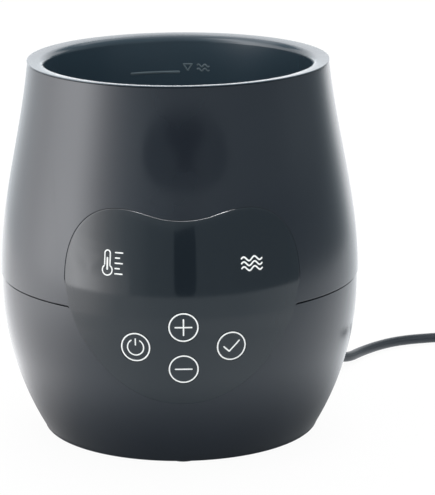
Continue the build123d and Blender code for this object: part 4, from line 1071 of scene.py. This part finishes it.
class WARMER_OT_stage(WarmerOperator, bpy.types.Operator):
    """Set the table, the studio light and the camera"""
    bl_idname = "warmer.stage"
    bl_label = "Stage"

    def make(self, settings):
        scene = bpy.context.scene
        scene.view_settings.view_transform = "Standard"
        self.world(scene, settings.stage.fill)
        self.table(settings.stage.table_white)
        self.tent(settings.stage)
        self.lamps(settings.stage.aim_height)
        self.camera(scene, settings.stage)

    def world(self, scene, fill):
        """White sky: full to the camera and in reflections, weaker where it lights surfaces."""
        world = bpy.data.worlds.new("studio")
        scene.world = world
        world.use_nodes = True
        tree = world.node_tree
        tree.nodes.clear()
        rays = add_node(tree, "ShaderNodeLightPath")
        seen = add_node(tree, "ShaderNodeMath", {0: (rays, "Is Camera Ray"), 1: (rays, "Is Glossy Ray")},
                        operation="MAXIMUM")
        seen = add_node(tree, "ShaderNodeMath", {0: (seen, 0), 1: (rays, "Is Transmission Ray")},
                        operation="MAXIMUM")
        lit = add_node(tree, "ShaderNodeBackground", Color=(1, 1, 1, 1), Strength=fill)
        shown = add_node(tree, "ShaderNodeBackground", Color=(1, 1, 1, 1), Strength=1.0)
        mix = add_node(tree, "ShaderNodeMixShader", {0: (seen, 0), 1: (lit, 0), 2: (shown, 0)})
        add_node(tree, "ShaderNodeOutputWorld", {"Surface": (mix, 0)})

    def table(self, table_white):
        """White table: nearly plain white to the camera, with a trace of the contact shadow."""
        edge = 4.0
        corners = np.array([(-edge, -edge), (edge, -edge), (edge, edge), (-edge, edge)])
        points = np.column_stack([corners, np.full(4, -0.1 * MM)])
        table = mesh_object("table_top", points, [np.array([[0, 1, 2, 3]])])
        material, tree, output = new_material("table_white")
        rays = add_node(tree, "ShaderNodeLightPath")
        paint = add_node(tree, "ShaderNodeBsdfDiffuse", Color=(0.8, 0.8, 0.8, 1))
        white = add_node(tree, "ShaderNodeEmission", Color=(1, 1, 1, 1), Strength=1.0)
        share = add_node(tree, "ShaderNodeMath", {0: (rays, "Is Camera Ray")}, operation="MULTIPLY")
        share.inputs[1].default_value = table_white
        mix = add_node(tree, "ShaderNodeMixShader", {0: (share, 0), 1: (paint, 0), 2: (white, 0)})
        tree.links.new(mix.outputs[0], output.inputs["Surface"])
        table.data.materials.append(material)

    def tent(self, stage):
        """Light tent that only reflections see: a round wall and floor with cards before them, whose
        brightness changes with the direction."""
        wall, near = stage.tent_radius, stage.card_radius
        floor_z, roof_z, strip_z = 0.2 * MM, 16 * MM, 200 * MM
        left = [(f"tent_left_{i}", card(near - (i + 1) * 0.5 * MM, -56.0, 26.0, 0.0, top, 0.2),
                 tuple((turn + 2.0 + 2 * i, level) for turn, level in WALL_LIGHT))
                for i, top in enumerate((0.1, 0.08, 0.06))]
        softened = tuple((turn, 0.88 * level + (0.24 if 0 <= turn <= 66 else 0.29))
                         for turn, level in WALL_LIGHT)
        for name, grid, *light in (
            ("tent_wall", band(-180, 180, 181, (wall, wall), (0.0, 1.4)), WALL_LIGHT),
            ("tent_floor", band(-180, 180, 181, (0.0, wall), (floor_z, floor_z)), NEAR_LIGHT, FAR_LIGHT),
            ("tent_stand", card(near, 2.0, 6.4, 0.003, 0.155, 0.35), even(0.01)),
            ("tent_gear", card(0.1, 1.5, 14.0, 0.1295, 0.148, 0.9), even(0.01)),
            ("tent_gear_edge", card(0.1005, 2.0, 20.0, 0.121, 0.152, 0.9), even(0.26)),
            ("tent_back", card(near, 180.0, 60.0, 0.24, 1.2, 0.2), even(1.9)),
            ("tent_back_dim", card(near - 0.5 * MM, 180.0, 62.0, 0.345, 0.64, 0.3), even(0.45)),
            ("tent_back_low", card(near, 180.0, 36.0, 0.13, 0.185, 0.2), even(3.6)),
            ("tent_upper", card(near + 0.5 * MM, 0.0, 112.0, 0.137, 1.2, 0.1), softened),
            ("tent_right", card(near, 133.0, 17.0, 0.112, 0.3, 0.4), even(0.4)),
            ("tent_strip", band(-38, 28, 30, (0.085, 0.15), (strip_z, strip_z)), STRIP_LIGHT),
            ("tent_shield", band(-38, 28, 30, (0.084, 0.084), (0.168, 0.201)), even(0.01)),
            ("tent_roof", band(86, 131, 24, (0.125, 0.235), (roof_z, roof_z)), NEAR_LIGHT, FAR_LIGHT),
            *left,
        ):
            sheet = grid_object(name, [grid], ends="open")
            sheet.data.materials.append(self.glow(name, light[0], light[-1]))
            sheet.visible_camera = sheet.visible_diffuse = sheet.visible_shadow = False
            sheet.visible_transmission = sheet.visible_volume_scatter = False

    def glow(self, name, near, far):
        """Emission that follows the direction, by one ramp close to the body's foot and by another
        away from it. Weak light is bluer, and all light dims to a fifth at the foot."""
        material, tree, output = new_material(name)
        place = add_node(tree, "ShaderNodeTexCoord")
        turned = add_node(tree, "ShaderNodeMapping", {"Vector": (place, "Object")},
                          Rotation=(0, 0, math.pi / 2))
        radial = add_node(tree, "ShaderNodeTexGradient", {"Vector": (turned, "Vector")},
                          gradient_type="RADIAL")
        peak = max(level for _, level in near + far)
        ramps = []
        for stops in (near, far):
            ramp = add_node(tree, "ShaderNodeValToRGB", {"Fac": (radial, "Fac")})
            for turn, _ in stops[1:-1]:
                ramp.color_ramp.elements.new(turn / 360 + 0.5)
            for element, (_, level) in zip(ramp.color_ramp.elements, stops):
                tint = DIM_TINT + min(level / 2.0, 1.0) * (FULL_TINT - DIM_TINT)
                element.color = (*(level / peak * tint), 1.0)
            ramps.append(ramp)
        away = add_node(tree, "ShaderNodeVectorMath", {0: (place, "Object")}, operation="DISTANCE")
        away.inputs[1].default_value = (0.003, 0.0, 0.0)
        reach = add_node(tree, "ShaderNodeMapRange", {"Value": (away, "Value")},
                         interpolation_type="SMOOTHSTEP", From_Min=0.12, From_Max=0.36)
        dim = add_node(tree, "ShaderNodeMapRange", {"Value": (away, "Value")},
                       interpolation_type="SMOOTHSTEP", From_Min=0.056, From_Max=0.124,
                       To_Min=0.2 * peak, To_Max=peak)
        mix = add_node(tree, "ShaderNodeMix", {"Factor": (reach, "Result")}, data_type="RGBA")
        for socket, ramp in zip("AB", ramps):
            tree.links.new(ramp.outputs["Color"], mix.inputs[socket])
        light = add_node(tree, "ShaderNodeEmission", {"Color": (mix, "Result"), "Strength": (dim, "Result")})
        tree.links.new(light.outputs[0], output.inputs["Surface"])
        return material

    def lamps(self, aim_height):
        """Softboxes that light surfaces and stay out of reflections, aimed at the body's middle."""
        for name, place, size, power, tint in (
            ("left_softbox", (-1.3, -0.75, 0.55), (0.7, 1.3), 6.0, (1.0, 0.985, 0.97)),
            ("front_softbox", (0.35, -1.6, 0.75), (1.0, 1.0), 9.0, (1, 1, 1)),
            ("back_softbox", (0.2, 1.5, 1.1), (1.6, 0.8), 24.0, (1, 1, 1)),
            ("top_softbox", (0.0, 0.1, 1.6), (1.2, 1.2), 14.0, (1, 1, 1)),
        ):
            lamp = bpy.data.lights.new(name, "AREA")
            lamp.shape, lamp.size, lamp.size_y = "RECTANGLE", size[0], size[1]
            lamp.energy, lamp.color = power, tint
            holder = new_object(name, lamp)
            holder.visible_glossy = False
            holder.location = place
            aim = Vector((0, 0, aim_height)) - Vector(place)
            holder.rotation_euler = aim.to_track_quat("-Z", "Y").to_euler()

    def camera(self, scene, stage):
        """Pinhole whose axes are swung so that the aim point falls on its pixel, then rolled."""
        ahead = Vector((0, math.cos(stage.elevation), -math.sin(stage.elevation)))
        right = Vector((1, 0, 0))
        up = right.cross(ahead)
        off_x = (stage.aim_pixel[0] - stage.frame_size[0] / 2) / stage.focal_pixels
        off_y = -(stage.aim_pixel[1] - stage.frame_size[1] / 2) / stage.focal_pixels
        ray = Vector((off_x, off_y, 1)).normalized()
        swing = Vector((0, 0, 1)).rotation_difference(ray).to_matrix() @ Matrix.Rotation(stage.roll, 3, "Z")
        axes = [swing[i][0] * right + swing[i][1] * up + swing[i][2] * ahead for i in range(3)]
        around = Matrix.Rotation(stage.turn, 3, "Z")
        facing = around @ Matrix((axes[0], axes[1], -axes[2])).transposed()
        lens = bpy.data.cameras.new("camera")
        lens.sensor_width = 36.0
        lens.lens = stage.focal_pixels * lens.sensor_width / max(stage.frame_size)
        lens.clip_end = 50.0
        camera = new_object("camera", lens)
        place = around @ (-ahead * stage.distance + Vector((0, 0, stage.aim_height)))
        camera.matrix_world = Matrix.Translation(place) @ facing.to_4x4()
        scene.camera = camera


OPERATORS = (WARMER_OT_stage, WARMER_OT_nodes, WARMER_OT_cord, WARMER_OT_casing, WARMER_OT_tank,
             WARMER_OT_panel, WARMER_OT_keys, WARMER_OT_signs, WARMER_OT_base)


class WARMER_PT_panel(bpy.types.Panel):
    bl_label = "Sake warmer"
    bl_space_type = "VIEW_3D"
    bl_region_type = "UI"
    bl_category = "Warmer"

    def draw(self, context):
        for operator in OPERATORS:
            self.layout.operator(operator.bl_idname)


CLASSES = (WarmerCasing, WarmerTank, WarmerPanel, WarmerKeys, WarmerCord, WarmerFinish, WarmerStage,
           WarmerSettings, *OPERATORS, WARMER_PT_panel)


def register():
    for item in CLASSES:
        bpy.utils.register_class(item)
    bpy.types.Scene.warmer = PointerProperty(type=WarmerSettings)


def unregister():
    del bpy.types.Scene.warmer
    for item in reversed(CLASSES):
        bpy.utils.unregister_class(item)


def main():
    register()
    for operator in OPERATORS:
        group, name = operator.bl_idname.split(".")
        getattr(getattr(bpy.ops, group), name)()


if __name__ == "__main__":
    main()
